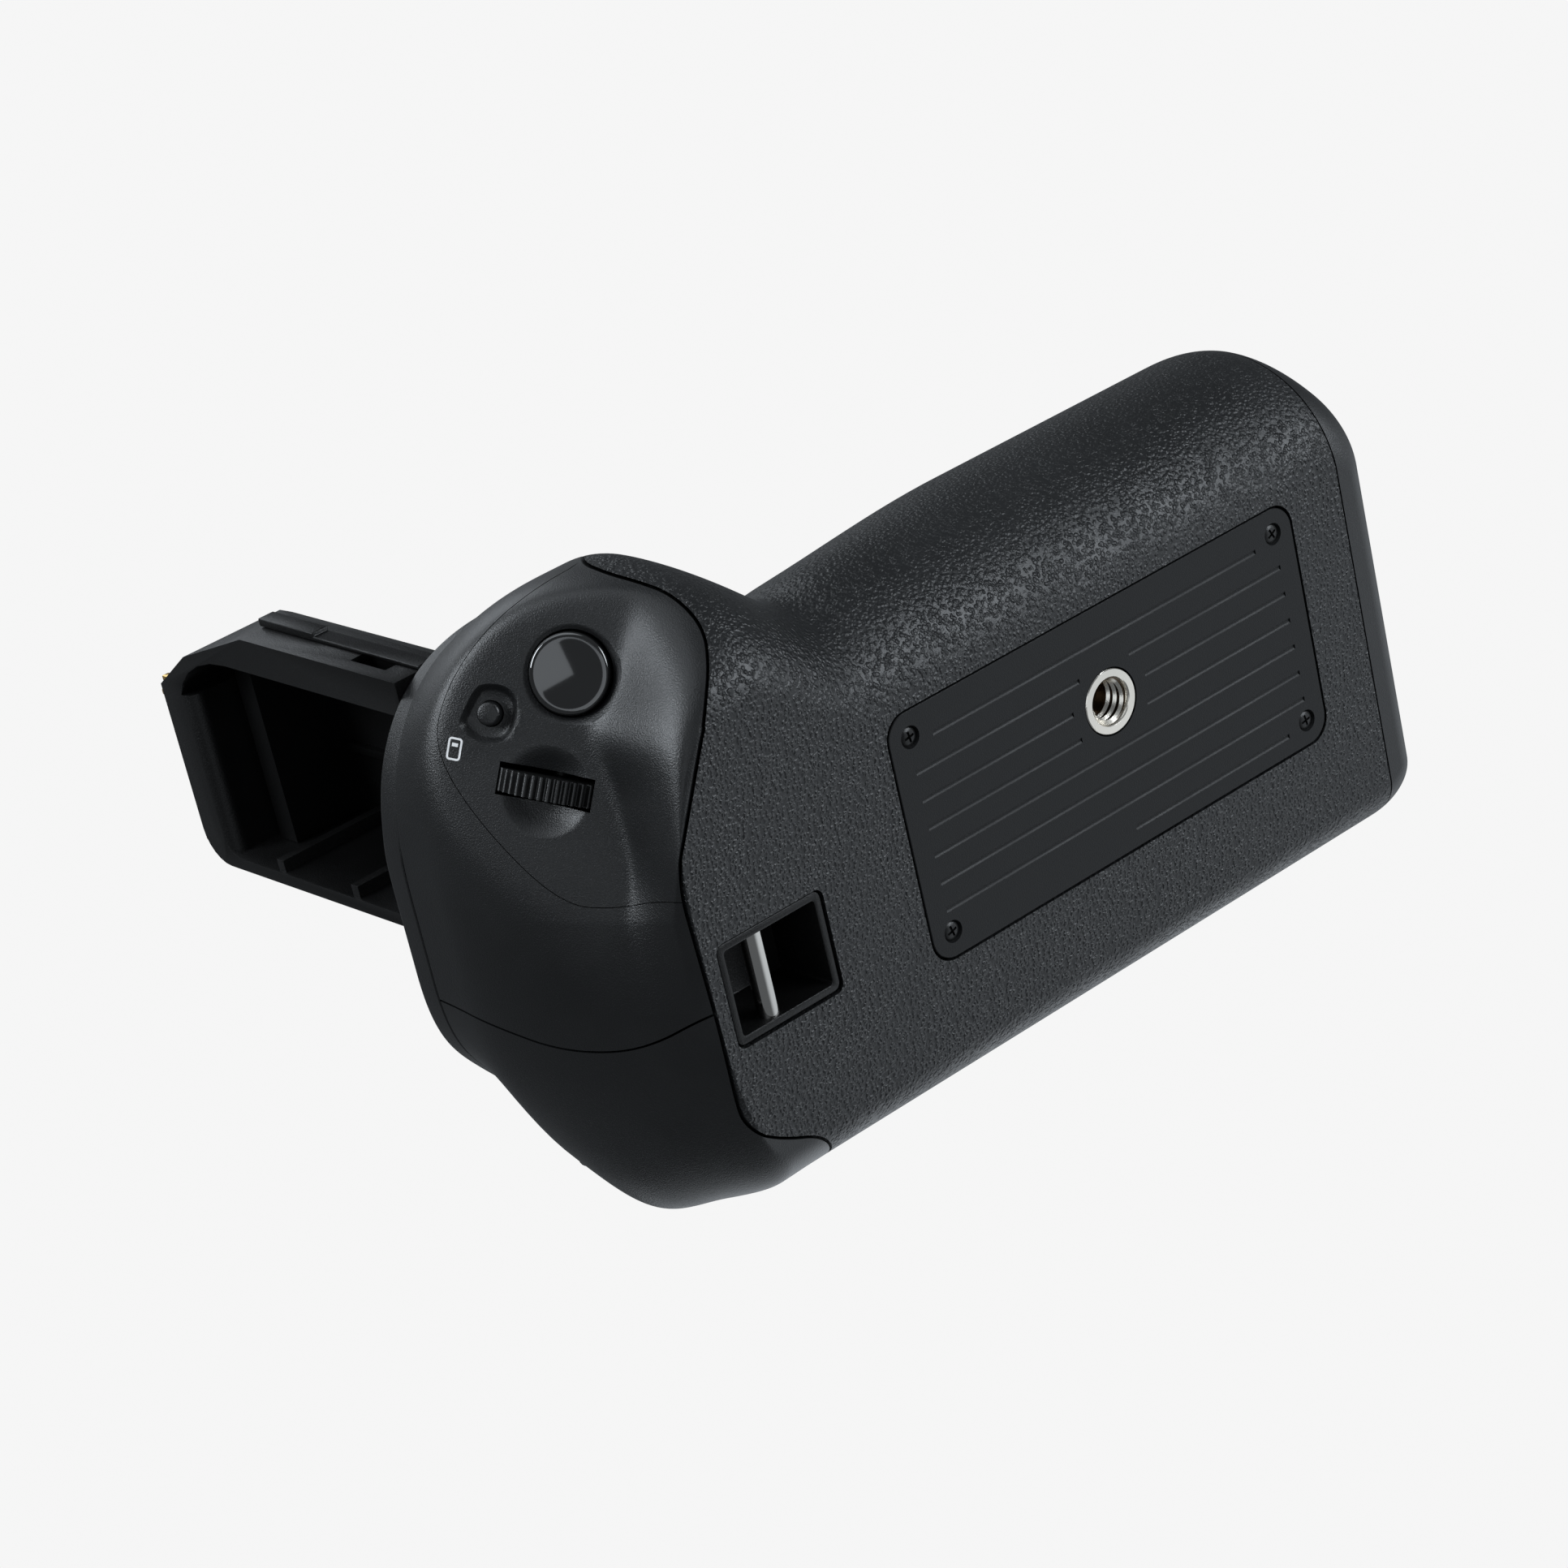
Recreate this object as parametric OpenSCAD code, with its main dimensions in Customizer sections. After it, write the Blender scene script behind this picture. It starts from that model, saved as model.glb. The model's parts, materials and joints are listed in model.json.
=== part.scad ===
// Camera battery grip: a hollow handle that screws under a camera, carries two
// batteries in a pull-out magazine and repeats the shutter controls for upright shots.
// Origin: mouth of the tripod socket on the underside. +X to the shutter end,
// +Y to the lens side, +Z up to the camera. Millimetres.

/* [Body] */
// Reach from the socket to the magazine end
left_len = 54.5; // [53.5:0.5:56]
// Reach from the socket to the shutter end at the deck
right_len = 86.5; // [85:0.5:88]
// Reach from the socket to the rear face
rear_depth = 41; // [40.8:0.2:44]
// How far the crown of the front roll stands out from the magazine sleeve
front_swell = 10.4; // [9.5:0.1:12]
// How far the finger hook stands out from the front roll
hook_swell = 10.5; // [9.5:0.5:12]
// Height of the body, up to the deck seam
body_h = 41.4; // [40.5:0.1:44]
// Thickness of the moulded skins
skin_t = 2; // [1.6:0.1:2.2]
// Thickness of the floor that the tripod socket sits in
floor_t = 5.4; // [5.2:0.1:5.6]
// Width of the seams between two covers
seam_gap = 0.25; // [0.15:0.05:0.3]
// Clearance between pieces that slide past each other
run_gap = 0.3; // [0.25:0.05:0.35]
// Radial clearance of a shaft in its bore
shaft_gap = 0.05; // [0.03:0.01:0.08]

/* [Deck] */
// Thickness of the deck plate that the camera sits on
deck_t = 4.2; // [3.8:0.1:5]
// Radius of the attachment stud, a quarter inch tripod thread
stud_r = 3.175; // [3:0.025:3.3]
// Length of the attachment stud above the deck
stud_len = 5.2; // [4.5:0.1:6]
// Radius of the locating pin
pin_r = 2; // [1.5:0.1:2.4]
// Height of the locating pin above the deck
pin_h = 4; // [3:0.5:5]
// Thickness of the rubber pads that the camera rests on
pad_t = 0.4; // [0.3:0.05:0.6]
// Place of the locating pin in front of the stud
pin_y = 14.5; // [13.5:0.5:15]

/* [Attachment drive] */
// Teeth of the thumb wheel
wheel_teeth = 32; // [31:1:33]
// Teeth of the gear on the attachment screw
screw_teeth = 20; // [19:1:20]
// Tooth size: pitch diameter over teeth
gear_module = 1; // [0.98:0.01:1.02]
// Share of the height under the deck that both gears fill
gear_fill = 0.44; // [0.38:0.01:0.46]

/* [Tripod plate] */
// Length of the grooved plate
plate_l = 75; // [72:0.5:78]
// Width of the grooved plate
plate_w = 35; // [33:0.5:36]
// Thickness of the grooved plate
plate_t = 2; // [1.6:0.1:2.4]
// Screw spacing along the plate
plate_screw_x = 67.8; // [64:0.2:69]
// Screw spacing across the plate
plate_screw_y = 28; // [26:0.5:29]
// Spacing of the grip grooves
groove_pitch = 3.95; // [3.8:0.05:4]
// Radius of the socket bore, a quarter inch tripod thread
socket_r = 3.175; // [3:0.025:3.3]
// Outer radius of the socket insert
insert_r = 4.5; // [4.2:0.1:4.8]

/* [Magazine] */
// Battery length, across the body
battery_l = 52.6; // [51:0.2:53]
// Battery width, along the body
battery_w = 38.6; // [37.5:0.1:39]
// Battery thickness
battery_t = 21; // [20:0.1:21.2]
// Wall of the magazine tray
tray_wall = 1.1; // [0.9:0.05:1.15]
// Wall of the sleeve that the magazine slides in
sleeve_wall = 1.1; // [0.9:0.05:1.15]
// Radius of the release knob
knob_r = 10; // [8.5:0.5:10.5]

/* [Pillar] */
// Width of the pillar that goes up the camera's battery bay
pillar_w = 38.5; // [37.5:0.1:39]
// Depth of the pillar along the body
pillar_d = 21; // [20:0.1:21.2]
// Height of the pillar above the deck
pillar_h = 61; // [58:0.5:63]
// Wall of the pillar
pillar_wall = 1.8; // [1.5:0.1:2.2]

/* [Controls] */
// Radius of the shutter button
shutter_r = 5.25; // [4.8:0.05:5.6]
// Travel of the shutter button
shutter_travel = 1; // [0.6:0.1:1]
// Radius of the function button
function_r = 1.9; // [1.6:0.1:2.2]
// Travel of the function button
function_travel = 0.7; // [0.4:0.1:0.8]
// Radius of the control dial
dial_r = 9; // [8.6:0.1:9.2]
// Width of the control dial
dial_w = 4; // [3.6:0.1:4.2]
// Radius of the buttons on the rear
rear_button_r = 2.4; // [2:0.1:2.5]
// Travel of the buttons on the rear
rear_travel = 0.6; // [0.4:0.1:0.8]
// Travel of the power slider
power_travel = 3; // [2:0.25:3]

/* [Strap lug] */
// Length of the strap window along the body
strap_l = 15.2; // [14.6:0.1:15.6]
// Width of the strap window
strap_w = 12; // [11.4:0.1:12.4]
// Depth of the strap window
strap_depth = 10.5; // [9.5:0.5:11]
// Radius of the strap bar
strap_bar_r = 1.5; // [1.2:0.1:1.6]

/* [Hidden] */
$fn = 48;
eps = 0.01;
big = 300;

// Heights
deck_z = body_h + 0.2;
deck_top = deck_z + deck_t;

// Magazine sleeve and tray, set against the rear wall
sleeve_room = 0.8;
cap_deep = 9;
contact_room = 1.8;
tray_l = 2 * battery_w + 3 * tray_wall;
tray_w = battery_l + 0.2 + 2 * tray_wall;
tray_h = battery_t + 0.1 + tray_wall;
sleeve_half = tray_w / 2 + run_gap + sleeve_wall;
magazine_y = sleeve_half + skin_t + sleeve_room - rear_depth;
sleeve_y = [magazine_y - sleeve_half, magazine_y + sleeve_half];
sleeve_z = floor_t + 1;
tray_z = sleeve_z + sleeve_wall + run_gap;
sleeve_top = tray_z + tray_h + run_gap + sleeve_wall;
cap_x = cap_deep - left_len;
cap_front = sleeve_y[1] + 2.7;
cap_top = sleeve_top + 1.6;
tray_end = cap_x + tray_l;
sleeve_end = tray_end + contact_room + sleeve_wall;

// Reach of the front roll and of the finger hook
front_depth = sleeve_y[1] + front_swell;
hook_depth = front_depth + hook_swell;

// Plan of the body: centres of the four blended corners
front_right = [right_len - 27, 2];
front_left = [11.5 - left_len, 12];
rear_left = [8.5 - left_len, 9 - rear_depth];
rear_right = [right_len - 20, -9];

// Flat of the underside, where the rolls begin
foot_front = front_depth - 16;
foot_hook = hook_depth - 16.5;
foot_rear = rear_depth - 7.5;
foot_right = right_len - 13.5;
foot_left = left_len - 4.5;

// Deck outline, where the rolls have drawn in again
deck_front = front_depth - 10.6;
deck_hook = hook_depth - 6.5;
deck_rear = rear_depth - 4.5;

// Heights of the rolls
front_roll = 18;
hook_roll = 25;
rear_roll = 11;
left_roll = 6;
end_rise = 35;
rear_straight = 31;

// Finger hook: start and end of the rise along the front
hook_from = 37;
hook_to = 56;
valley_dip = 1.4;

// Upper front edge: drawn in more and more towards the hook
front_bow = 3.2;
bow_from = -22;
bow_low = 12;
bow_high = 30;

// Thumb swell on the rear corner
thumb_swell = 6.3;
thumb_at = [77, 20];
thumb_reach = [9, 11];
thumb_dip = 3.6;
dip_at = [81.5, body_h];
dip_reach = [9, 6];

// Control facet: a slanted finger rest on the lower shutter corner
facet_origin = [right_len - 18, hook_depth - 9.8, 20];
facet_yaw = 29;
facet_pitch = 36;
facet_blend = 1.6;
facet_mid_u = 8;
facet_half_u = 23;
facet_top_v = 45;
facet_fade = 0.32;
facet_widen = 2.5;
lip_from = 6;
lip_rise = 13.5;

facet_n = [cos(facet_yaw) * cos(facet_pitch), sin(facet_yaw) * cos(facet_pitch), -sin(facet_pitch)];
facet_u = [sin(facet_yaw), -cos(facet_yaw), 0];
facet_v = [cos(facet_yaw) * sin(facet_pitch), sin(facet_yaw) * sin(facet_pitch), cos(facet_pitch)];

function mix(a, b, t) = a + (b - a) * t;
function clamp(t) = min(1, max(0, t));
function ease(t) = let (c = clamp(t)) c * c * (3 - 2 * c);
function roll(t) = sqrt(1 - pow(1 - clamp(t), 2));
function bell(t) = exp(-t * t);

// Where each side of the body stands at height z
function side_right(z) = mix(foot_right, right_len, 1 - pow(1 - clamp(z / end_rise), 1.7));
function side_left(z) = -mix(foot_left, left_len, roll(z / left_roll));
function swept(z, foot, crown, top, rise) = z < rise
    ? mix(foot, crown, roll(z / rise))
    : mix(crown, top, pow((z - rise) / (body_h - rise), 1.8));
function side_front(z) = swept(z, foot_front, front_depth, deck_front, front_roll);
function side_hook(z) = swept(z, foot_hook, hook_depth, deck_hook, hook_roll);
function side_rear(z) = -(z < rear_straight
    ? mix(foot_rear, rear_depth, roll(z / rear_roll))
    : mix(rear_depth, deck_rear, ease((z - rear_straight) / (body_h - rear_straight))));

// A quarter of a superellipse, from its X arm (t = 0) to its Y arm (t = 1)
function blended(c, arm, power, t) = [
    c[0] + arm[0] * pow(cos(90 * t), 2 / power),
    c[1] + arm[1] * pow(sin(90 * t), 2 / power)];
function bow_at(x, z) = front_bow * ease((z - bow_low) / (bow_high - bow_low))
    * ease((x - bow_from) / (hook_from - bow_from));
function front_at(x, z) = mix(side_front(z) - bow_at(x, z), side_hook(z),
        ease((x - hook_from) / (hook_to - hook_from)))
    - valley_dip * bell((x - hook_from - 2) / 5) * roll(z / front_roll);
function steps(count) = [for (i = [0 : count - 1]) i / count];

// Plan outline at height z, drawn in by inset s, with counts scaled by fine
function plan(z, s, fine) = let (
        right = side_right(z) - s,
        left = side_left(z) + s,
        rear = side_rear(z) + s,
        hook = side_hook(z) - s,
        front = side_front(z) - s)
    concat(
        [for (t = steps(22 * fine))
            blended(front_right, [right - front_right[0], hook - front_right[1]], 2.5, t)],
        [for (t = steps(14 * fine))
            let (x = mix(front_right[0], hook_from - 5, t)) [x, front_at(x, z) - s]],
        [for (t = steps(6 * fine))
            let (x = mix(hook_from - 5, front_left[0], t)) [x, front_at(x, z) - s]],
        [for (t = steps(10 * fine))
            blended(front_left, [left - front_left[0], front - front_left[1]], 2.5, 1 - t)],
        [for (t = steps(8 * fine))
            blended(rear_left, [left - rear_left[0], rear - rear_left[1]], 2.2, t)],
        [for (t = steps(6 * fine))
            [mix(rear_left[0], rear_right[0], t), rear]],
        [for (t = steps(14 * fine))
            blended(rear_right, [right - rear_right[0], rear - rear_right[1]], 2.2, 1 - t)]);

// Soft swell for the thumb, then the facet pressed flat
function mound(x, z, at, reach) = bell((x - at[0]) / reach[0]) * bell((z - at[1]) / reach[1]);
function swell_at(x, z) = thumb_swell * mound(x, z, thumb_at, thumb_reach)
    - thumb_dip * mound(x, z, dip_at, dip_reach);
function swollen(p) = [p[0], p[1] - swell_at(p[0], p[2]) * ease((-p[1] - 12) / 20), p[2]];
function facet_window(u, v, s) = let (
        across = abs(u - facet_mid_u) / (facet_half_u + facet_widen * s),
        along = max(0, v) / facet_top_v,
        reach = pow(pow(across, 3) + pow(along, 3), 1 / 3),
        lip = ease((-v - lip_from - s / 2) / lip_rise))
    (1 - ease((reach - 1) / facet_fade)) * (1 - lip);
function pressed(p, s) = let (
        q = p - facet_origin + s * facet_n,
        d = q * facet_n,
        press = (d + sqrt(d * d + facet_blend * facet_blend)) / 2)
    p - facet_n * press * facet_window(q * facet_u, q * facet_v, s);

// Heights of the rings, close together where the rolls turn fast
function ring_heights(low, count) = [for (i = [0 : count])
    mix(low, body_h, pow(i / count, 1.5))];

// The outer body as one lofted solid, drawn in by s and starting at height low
cap_middle = [58, 10];
function ring(z, s, fine) = [for (p = plan(z, s, fine)) pressed(swollen([p[0], p[1], z]), s)];
module body_loft(s, low, fine, count) {
    rings = [for (z = ring_heights(low, count)) ring(z, s, fine)];
    n = len(rings[0]);
    points = concat([for (r = rings) each r], [concat(cap_middle, [low])]);
    walls = [for (i = [0 : count - 1], j = [0 : n - 1]) let (a = i * n + j, b = i * n + (j + 1) % n)
        each [[a, a + n, b], [b, a + n, b + n]]];
    foot = [for (j = [0 : n - 1]) [len(points) - 1, j, (j + 1) % n]];
    top = [for (j = [n - 1 : -1 : 0]) count * n + j];
    polyhedron(points, concat(walls, foot, [top]), convexity = 10);
}
module body_outside() body_loft(0, 0, 0.8, 16);
module body_inside() body_loft(skin_t, floor_t, 0.5, 9);
module body_skin() difference() {
    body_outside();
    body_inside();
    translate([-big / 2, -big / 2, body_h - eps]) cube([big, big, 1]);
}

// Shapes that repeat
module slab(size, r) hull() for (x = [r, size[0] - r], y = [r, size[1] - r])
    translate([x, y, 0]) cylinder(r = r, h = size[2], $fn = 24);
module box(low, high) translate(low) cube(high - low);
module rod_x(at, r, h) translate(at) rotate([0, 90, 0]) cylinder(r = r, h = h);
module rod_y(at, r, h) translate(at) rotate([-90, 0, 0]) cylinder(r = r, h = h);
module rod_z(at, r, h) translate(at) cylinder(r = r, h = h);
function cut_corners(p, k) = k == 0 ? p : cut_corners(concat(
    [p[0]],
    [for (i = [0 : len(p) - 2]) each [mix(p[i], p[i + 1], 0.25), mix(p[i], p[i + 1], 0.75)]],
    [p[len(p) - 1]]), k - 1);

// Facet frame: first axis out of the facet, second towards the hook, third up the slope
module on_facet(u, v, h) translate(facet_origin) rotate([0, 0, facet_yaw]) rotate([0, facet_pitch, 0])
    translate([h, -u, v]) children();
module facet_rod(u, v, low, high, r) on_facet(u, v, low) rotate([0, 90, 0]) cylinder(r = r, h = high - low);
module facet_box(u, v, low, high, size_u, size_v) on_facet(u - size_u / 2, v - size_v / 2, low)
    translate([0, -size_u, 0]) cube([high - low, size_u, size_v]);
module facet_prism(low, high) on_facet(0, 0, low) rotate([90, 0, 90])
    linear_extrude(high - low) mirror([1, 0]) children();

// Seam between the grained shell and the smooth covers, seen from above
cover_seam = cut_corners([
    [58.5, -60], [58.5, -41], [61, -34.5], [68, -31.5], [73.5, -27.5], [74.3, -22],
    [73.3, -5], [73.6, 11], [67, 24.3], [58.5, 29.5], [55, 35], [54.5, 60]], 2);

// Seam between the end cover and the rear cover: [y, z] places
seam_low = -2;
seam_high = 50;
rear_seam = cut_corners([
    [-9.8, seam_low], [-11.5, 2.2], [-14.4, 7.5], [-15.9, 13],
    [-15.8, 21], [-13.6, 29.5], [-12.2, 38], [-11.9, seam_high]], 2);
module beside_seam(side, grow) along_x(0, big) offset(delta = grow)
    polygon(concat(rear_seam, [[side * big, seam_high], [side * big, seam_low]]));
module cover_region(grow) translate([0, 0, -1]) linear_extrude(body_h + 2) offset(delta = grow)
    polygon(concat(cover_seam, [[big, 60], [big, -60]]));
module ahead_of_rear_seam(grow) beside_seam(1, grow);
module behind_rear_seam(grow) beside_seam(-1, grow);

// Outline of the control panel on the facet
panel_edge = cut_corners([
    [-34, -2], [-14, 2.5], [-10, 6.5], [-2.6, 12.5], [6, 16], [13, 15.8],
    [21, 8], [28.7, -3.8], [27.8, -11.1], [24.8, -18], [22, -40]], 2);
panel_depth = 8;
lip_crease_v = -19.5;
module panel_region(grow) facet_prism(-panel_depth, 3 * panel_depth) offset(delta = grow)
    polygon(concat(panel_edge, [[-34, -40]]));

// Nose of the hook, which stays with the grained shell
nose_edge = cut_corners([
    [-13, 60], [-13, 2], [-12.6, -5], [-11.8, -11], [-8.8, -16], [-4, -18.8], [1, -19.8], [2, -60]], 2);
module nose_region(grow) facet_prism(-40, 30) offset(delta = grow)
    polygon(concat(nose_edge, [[-90, -60], [-90, 60]]));

// The hollow of the facet, down to the crease of its lip
module facet_hollow(grow) facet_box(8, lip_crease_v / 2 + 20 - grow / 2, -3.4 - grow, 30,
    44 + 2 * grow, 40 - lip_crease_v + grow);
module panel_zone(grow) difference() {
    union() {
        cover_region(grow);
        facet_hollow(grow);
    }
    nose_region(-grow);
}

// End cap of the magazine
module cap_block(grow) hull() {
    rod_x([cap_x - 40, cap_front - 4, cap_top - 4], 4 + grow, 40 + grow);
    box([cap_x - 40, -60, -5], [cap_x + grow, cap_front + grow, 0]);
    box([cap_x - 40, -60, -5], [cap_x + grow, -55, cap_top + grow]);
}

// Attachment drive: thumb wheel behind the stud, meshed with the screw's gear
wheel_pitch_r = gear_module * wheel_teeth / 2;
screw_pitch_r = gear_module * screw_teeth / 2;
wheel_y = -(wheel_pitch_r + screw_pitch_r);
gear_space = deck_z - sleeve_top;
gear_t = gear_fill * gear_space;
gear_z = sleeve_top + 0.235 * gear_space;
axle_r = 2;
pin_shoulder = 0.4;
neck_r = 4.4;
bush_r = 6.4;
pressure_angle = 20;
tooth_slack = 1.2;
tooth_heights = [-1.15, -0.5, 0, 0.5, 0.9];
function inv(a) = tan(a) * 180 / PI - a;
function polar(r, a) = r * [cos(a), sin(a)];

// Half the angle that a tooth fills at radius rho, on an involute flank
function tooth_half(n, rho) = let (base_r = gear_module * n / 2 * cos(pressure_angle))
    90 / n - tooth_slack + inv(pressure_angle) - inv(acos(min(1, base_r / rho)));
function gear_points(n) = let (
        radii = [for (h = tooth_heights) gear_module * (n / 2 + h)],
        rising = [for (rho = radii) [rho, -tooth_half(n, rho)]],
        falling = [for (i = [len(radii) - 1 : -1 : 0]) [radii[i], tooth_half(n, radii[i])]])
    [for (k = [0 : n - 1], p = concat(rising, falling)) polar(p[0], 360 * k / n + p[1])];

// Fasteners
plate_mid = -3.95;
plate_screws_at = [for (x = [-1, 1], y = [-1, 1]) [x * plate_screw_x / 2, plate_mid + y * plate_screw_y / 2]];
screw_head_r = 1.75;
screw_shank_r = 1.1;
// Places of the deck screws, and the wall that each boss leans on
deck_screws_at = [
    [[6 - left_len, -8], [-3, 0]],
    [[-26, deck_front - 5.2], [0, 2.2]],
    [[26, deck_front - 7], [0, 1.4]],
    [[-26, 10 - rear_depth], [0, -3]],
    [[26, 10 - rear_depth], [0, -3]],
    [[right_len - 6.3, 3], [3, 0]],
    [[right_len - 7, -18], [3, -1]]];
boss_low = body_h - 7.4;
boss_r = 2.6;
module deck_boss(k) hull() for (lean = [[0, 0], deck_screws_at[k][1]])
    rod_z(concat(deck_screws_at[k][0] + lean, [boss_low]), boss_r, body_h - boss_low, $fn = 24);
module deck_boss_hole(k) rod_z(concat(deck_screws_at[k][0], [boss_low + 1]), screw_shank_r + 0.1, body_h);
module screw(at, z, down) translate(concat(at, [z])) mirror([0, 0, down ? 1 : 0]) difference() {
    union() {
        cylinder(r1 = screw_head_r, r2 = screw_shank_r, h = 1.1);
        cylinder(r = screw_shank_r, h = 5);
    }
    for (a = [0, 90]) rotate(a) translate([-0.95, -0.2, -eps]) cube([1.9, 0.4, 0.7]);
}
module screw_seat(at, z, down) translate(concat(at, [z])) mirror([0, 0, down ? 1 : 0]) {
    translate([0, 0, -eps]) cylinder(r1 = screw_head_r + 0.1, r2 = screw_shank_r + 0.1, h = 1.15);
    translate([0, 0, -eps]) cylinder(r = screw_shank_r + 0.1, h = 8);
}

// Strap lug
strap_low = [54.4, -15.6];
strap_flange = 1.8;
strap_wall = 1.2;
strap_bar_x = strap_low[0] + 9.4;
strap_bar_z = 2;

// Controls on the facet: [u, v] places and depths below the facet
shutter_at = [0, 0];
function_at = [6.9, 9.5];
dial_at = [14.7, 0.7];
dial_depth = 6.8;
dial_axle_r = 1.2;
carrier_top = 5.2;
carrier_t = 1.4;
carrier_plan = [[-7, -4.6], [-3.6, -8], [21, -8], [21, 12], [-1.4, 12], [-7, 6.4]];
carrier_feet_at = [[-4.6, 5.6], [-4.5, -4.5], [9, -5]];
board_top = 11;
shutter_stem_r = 2;
function_stem_r = 1.1;
switch_h = 1.6;
stem_gap = 0.5;
shutter_stem_end = board_top - switch_h - shutter_travel - stem_gap;
function_stem_end = board_top - switch_h - function_travel - stem_gap;
slot_u = dial_w + 0.8;
scoop_r = 6.4;
scoop_deep = 2.5;
slot_v = 14.6;
bearing_u = dial_w / 2 + 0.4;
bearing_t = 1.6;

// Controls on the rear
rear_buttons_x = [62.8, 68.6, 74.4];
rear_button_z = body_h - 8;
power_at = [63, 23];
carrier_y = 8.6 - rear_depth;
carrier_low = [60.2, 19];
carrier_high = [76.2, body_h - 4.4];
rear_stem_r = 1.3;
rear_switch_y = carrier_y + 4.4;
rear_post_r = 1.2;
rear_posts_at = [[65.7, body_h - 5.8], [71.5, body_h - 5.8], [71.6, 22], [75, 25]];
function rear_at(x, z) = let (
        arm = [side_right(z) - rear_right[0], side_rear(z) - rear_right[1]],
        t = pow(max(0, x - rear_right[0]) / arm[0], 2.2),
        y = rear_right[1] + arm[1] * pow(1 - t, 1 / 2.2))
    swollen([x, y, z])[1];

// Pillar: a trough open to +X, its tip bevelled at the front and rounded at the rear
pillar_x = 78 - pillar_d;
pillar_y = -9.6;
pillar_edge = [pillar_x + pillar_d, pillar_y + pillar_w];
pillar_top = deck_top + pillar_h;
pillar_front_wall = 5;
tip_wall = 4;
hollow_round = 5;
tip_bevel = [11, 25];
tip_round = 5;

// Side outline of the pillar
function pillar_side() = let (
        y0 = pillar_y,
        y1 = pillar_edge[1],
        z1 = pillar_top,
        r = tip_round)
    concat(
        [[y0, deck_top], [y1, deck_top]],
        [[y1, z1 - tip_bevel[1]], [y1 - tip_bevel[0] / 2, z1 - tip_bevel[1] / 3], [y1 - tip_bevel[0], z1]],
        [for (a = [90 : 15 : 180]) [y0 + r, z1 - r] + polar(r, a)]);

// Side outline of the pillar's hollow, round at the tip
function hollow_side() = let (
        y0 = pillar_y + pillar_wall,
        y1 = pillar_edge[1] - pillar_front_wall,
        z1 = pillar_top - tip_wall,
        r = hollow_round)
    concat(
        [[y0, deck_top + pillar_wall], [y1, deck_top + pillar_wall]],
        [for (a = [0 : 15 : 90]) [y1 - 2 * r, z1 - 3 * r] + [2 * r * cos(a), 3 * r * sin(a)]],
        [for (a = [90 : 15 : 180]) [y0 + r, z1 - r] + polar(r, a)]);

// Plan of the pillar, one corner cut off slantwise, drawn in by a wall and a front wall
corner_cut = [12.5, 8.4];
corner_slope = corner_cut[1] / corner_cut[0];
corner_share = sqrt(1 + corner_slope * corner_slope) - corner_slope;
function pillar_plan(wall, front) = let (
        x0 = pillar_x + wall,
        x1 = pillar_edge[0] + wall,
        y0 = pillar_y + wall,
        y1 = pillar_edge[1] - front,
        drop = corner_cut[1] + corner_share * wall)
    [[x0, y0], [x1, y0], [x1, y1], [x0 + (drop - front) / corner_slope, y1], [x0, pillar_edge[1] - drop]];

// Height of the tip's skin over the width
function tip_z(y) = let (
        front = y - pillar_edge[1] + tip_bevel[0],
        rear = pillar_y + tip_round - y)
    front > 0 ? pillar_top - front * tip_bevel[1] / 3 / (tip_bevel[0] / 2)
    : rear > 0 ? pillar_top - tip_round + sqrt(tip_round * tip_round - rear * rear)
    : pillar_top;
tip_contacts_y = [-6.4, 14.8, 17.6];
blade_x = [6, 12];
blade_t = 0.9;
contact_block_z = pillar_top - 12.5;
module along_x(x0, x1) translate([x0, 0, 0]) rotate([90, 0, 90]) linear_extrude(x1 - x0) children();

rib_deep = 1.4;
module ribs_inside() intersection() {
    difference() {
        body_loft(skin_t / 2, floor_t / 2, 0.5, 9);
        body_loft(skin_t + rib_deep, floor_t + rib_deep, 0.5, 9);
    }
    union() children();
}

// The shell: a floor, a front and a rear wall and a bridge over the magazine, face to face
module shell_solid() difference() {
    union() {
        difference() {
            body_skin();
            panel_zone(seam_gap);
            cap_block(seam_gap);
        }
        for (k = [0 : 4]) deck_boss(k);
    }
    for (k = [0 : 4]) deck_boss_hole(k);
    translate([-plate_l / 2 - 0.1, plate_mid - plate_w / 2 - 0.1, -eps])
        slab([plate_l + 0.2, plate_w + 0.2, plate_t + 0.05], 3.6);
    for (at = plate_screws_at) rod_z(concat(at, [0]), screw_shank_r + 0.1, floor_t + 1);
    rod_z([0, 0, -1], insert_r + 0.1, floor_t + 2);
    translate([strap_low[0] - strap_flange - 0.15, strap_low[1] - strap_flange - 0.15, -eps])
        slab([strap_l + 2 * strap_flange + 0.3, strap_w + 2 * strap_flange + 0.3, 1.5], 1.2);
    translate([strap_low[0] - strap_wall - 0.15, strap_low[1] - strap_wall - 0.15, -eps])
        slab([strap_l + 2 * strap_wall + 0.3, strap_w + 2 * strap_wall + 0.3, strap_depth + 2], 0.3);
    translate([-13.5, -60, gear_z - 0.7]) slab([27, 32, gear_t + 1.4], 0.6);
}
wall_parting_y = -5;
wall_parting_z = floor_t + 0.4;
bridge_x = cap_x + seam_gap + 0.5;
bridge_z = cap_top - 0.5;
module above_floor(y0, y1) box([-big, y0, wall_parting_z], [big, y1, body_h + 1]);
module low_corner() {
    box([62, -28, -1], [big, 6, 14]);
    box([57.5, 6 - eps, -1], [67, 21, 7.5]);
}
module bridge_zone() box([-big, -big, bridge_z], [bridge_x, big, body_h + 2]);
module bottom_shell() color([0.13, 0.13, 0.14]) intersection() {
    shell_solid();
    union() {
        box([-big, -big, -1], [big, big, wall_parting_z]);
        low_corner();
    }
}
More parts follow.
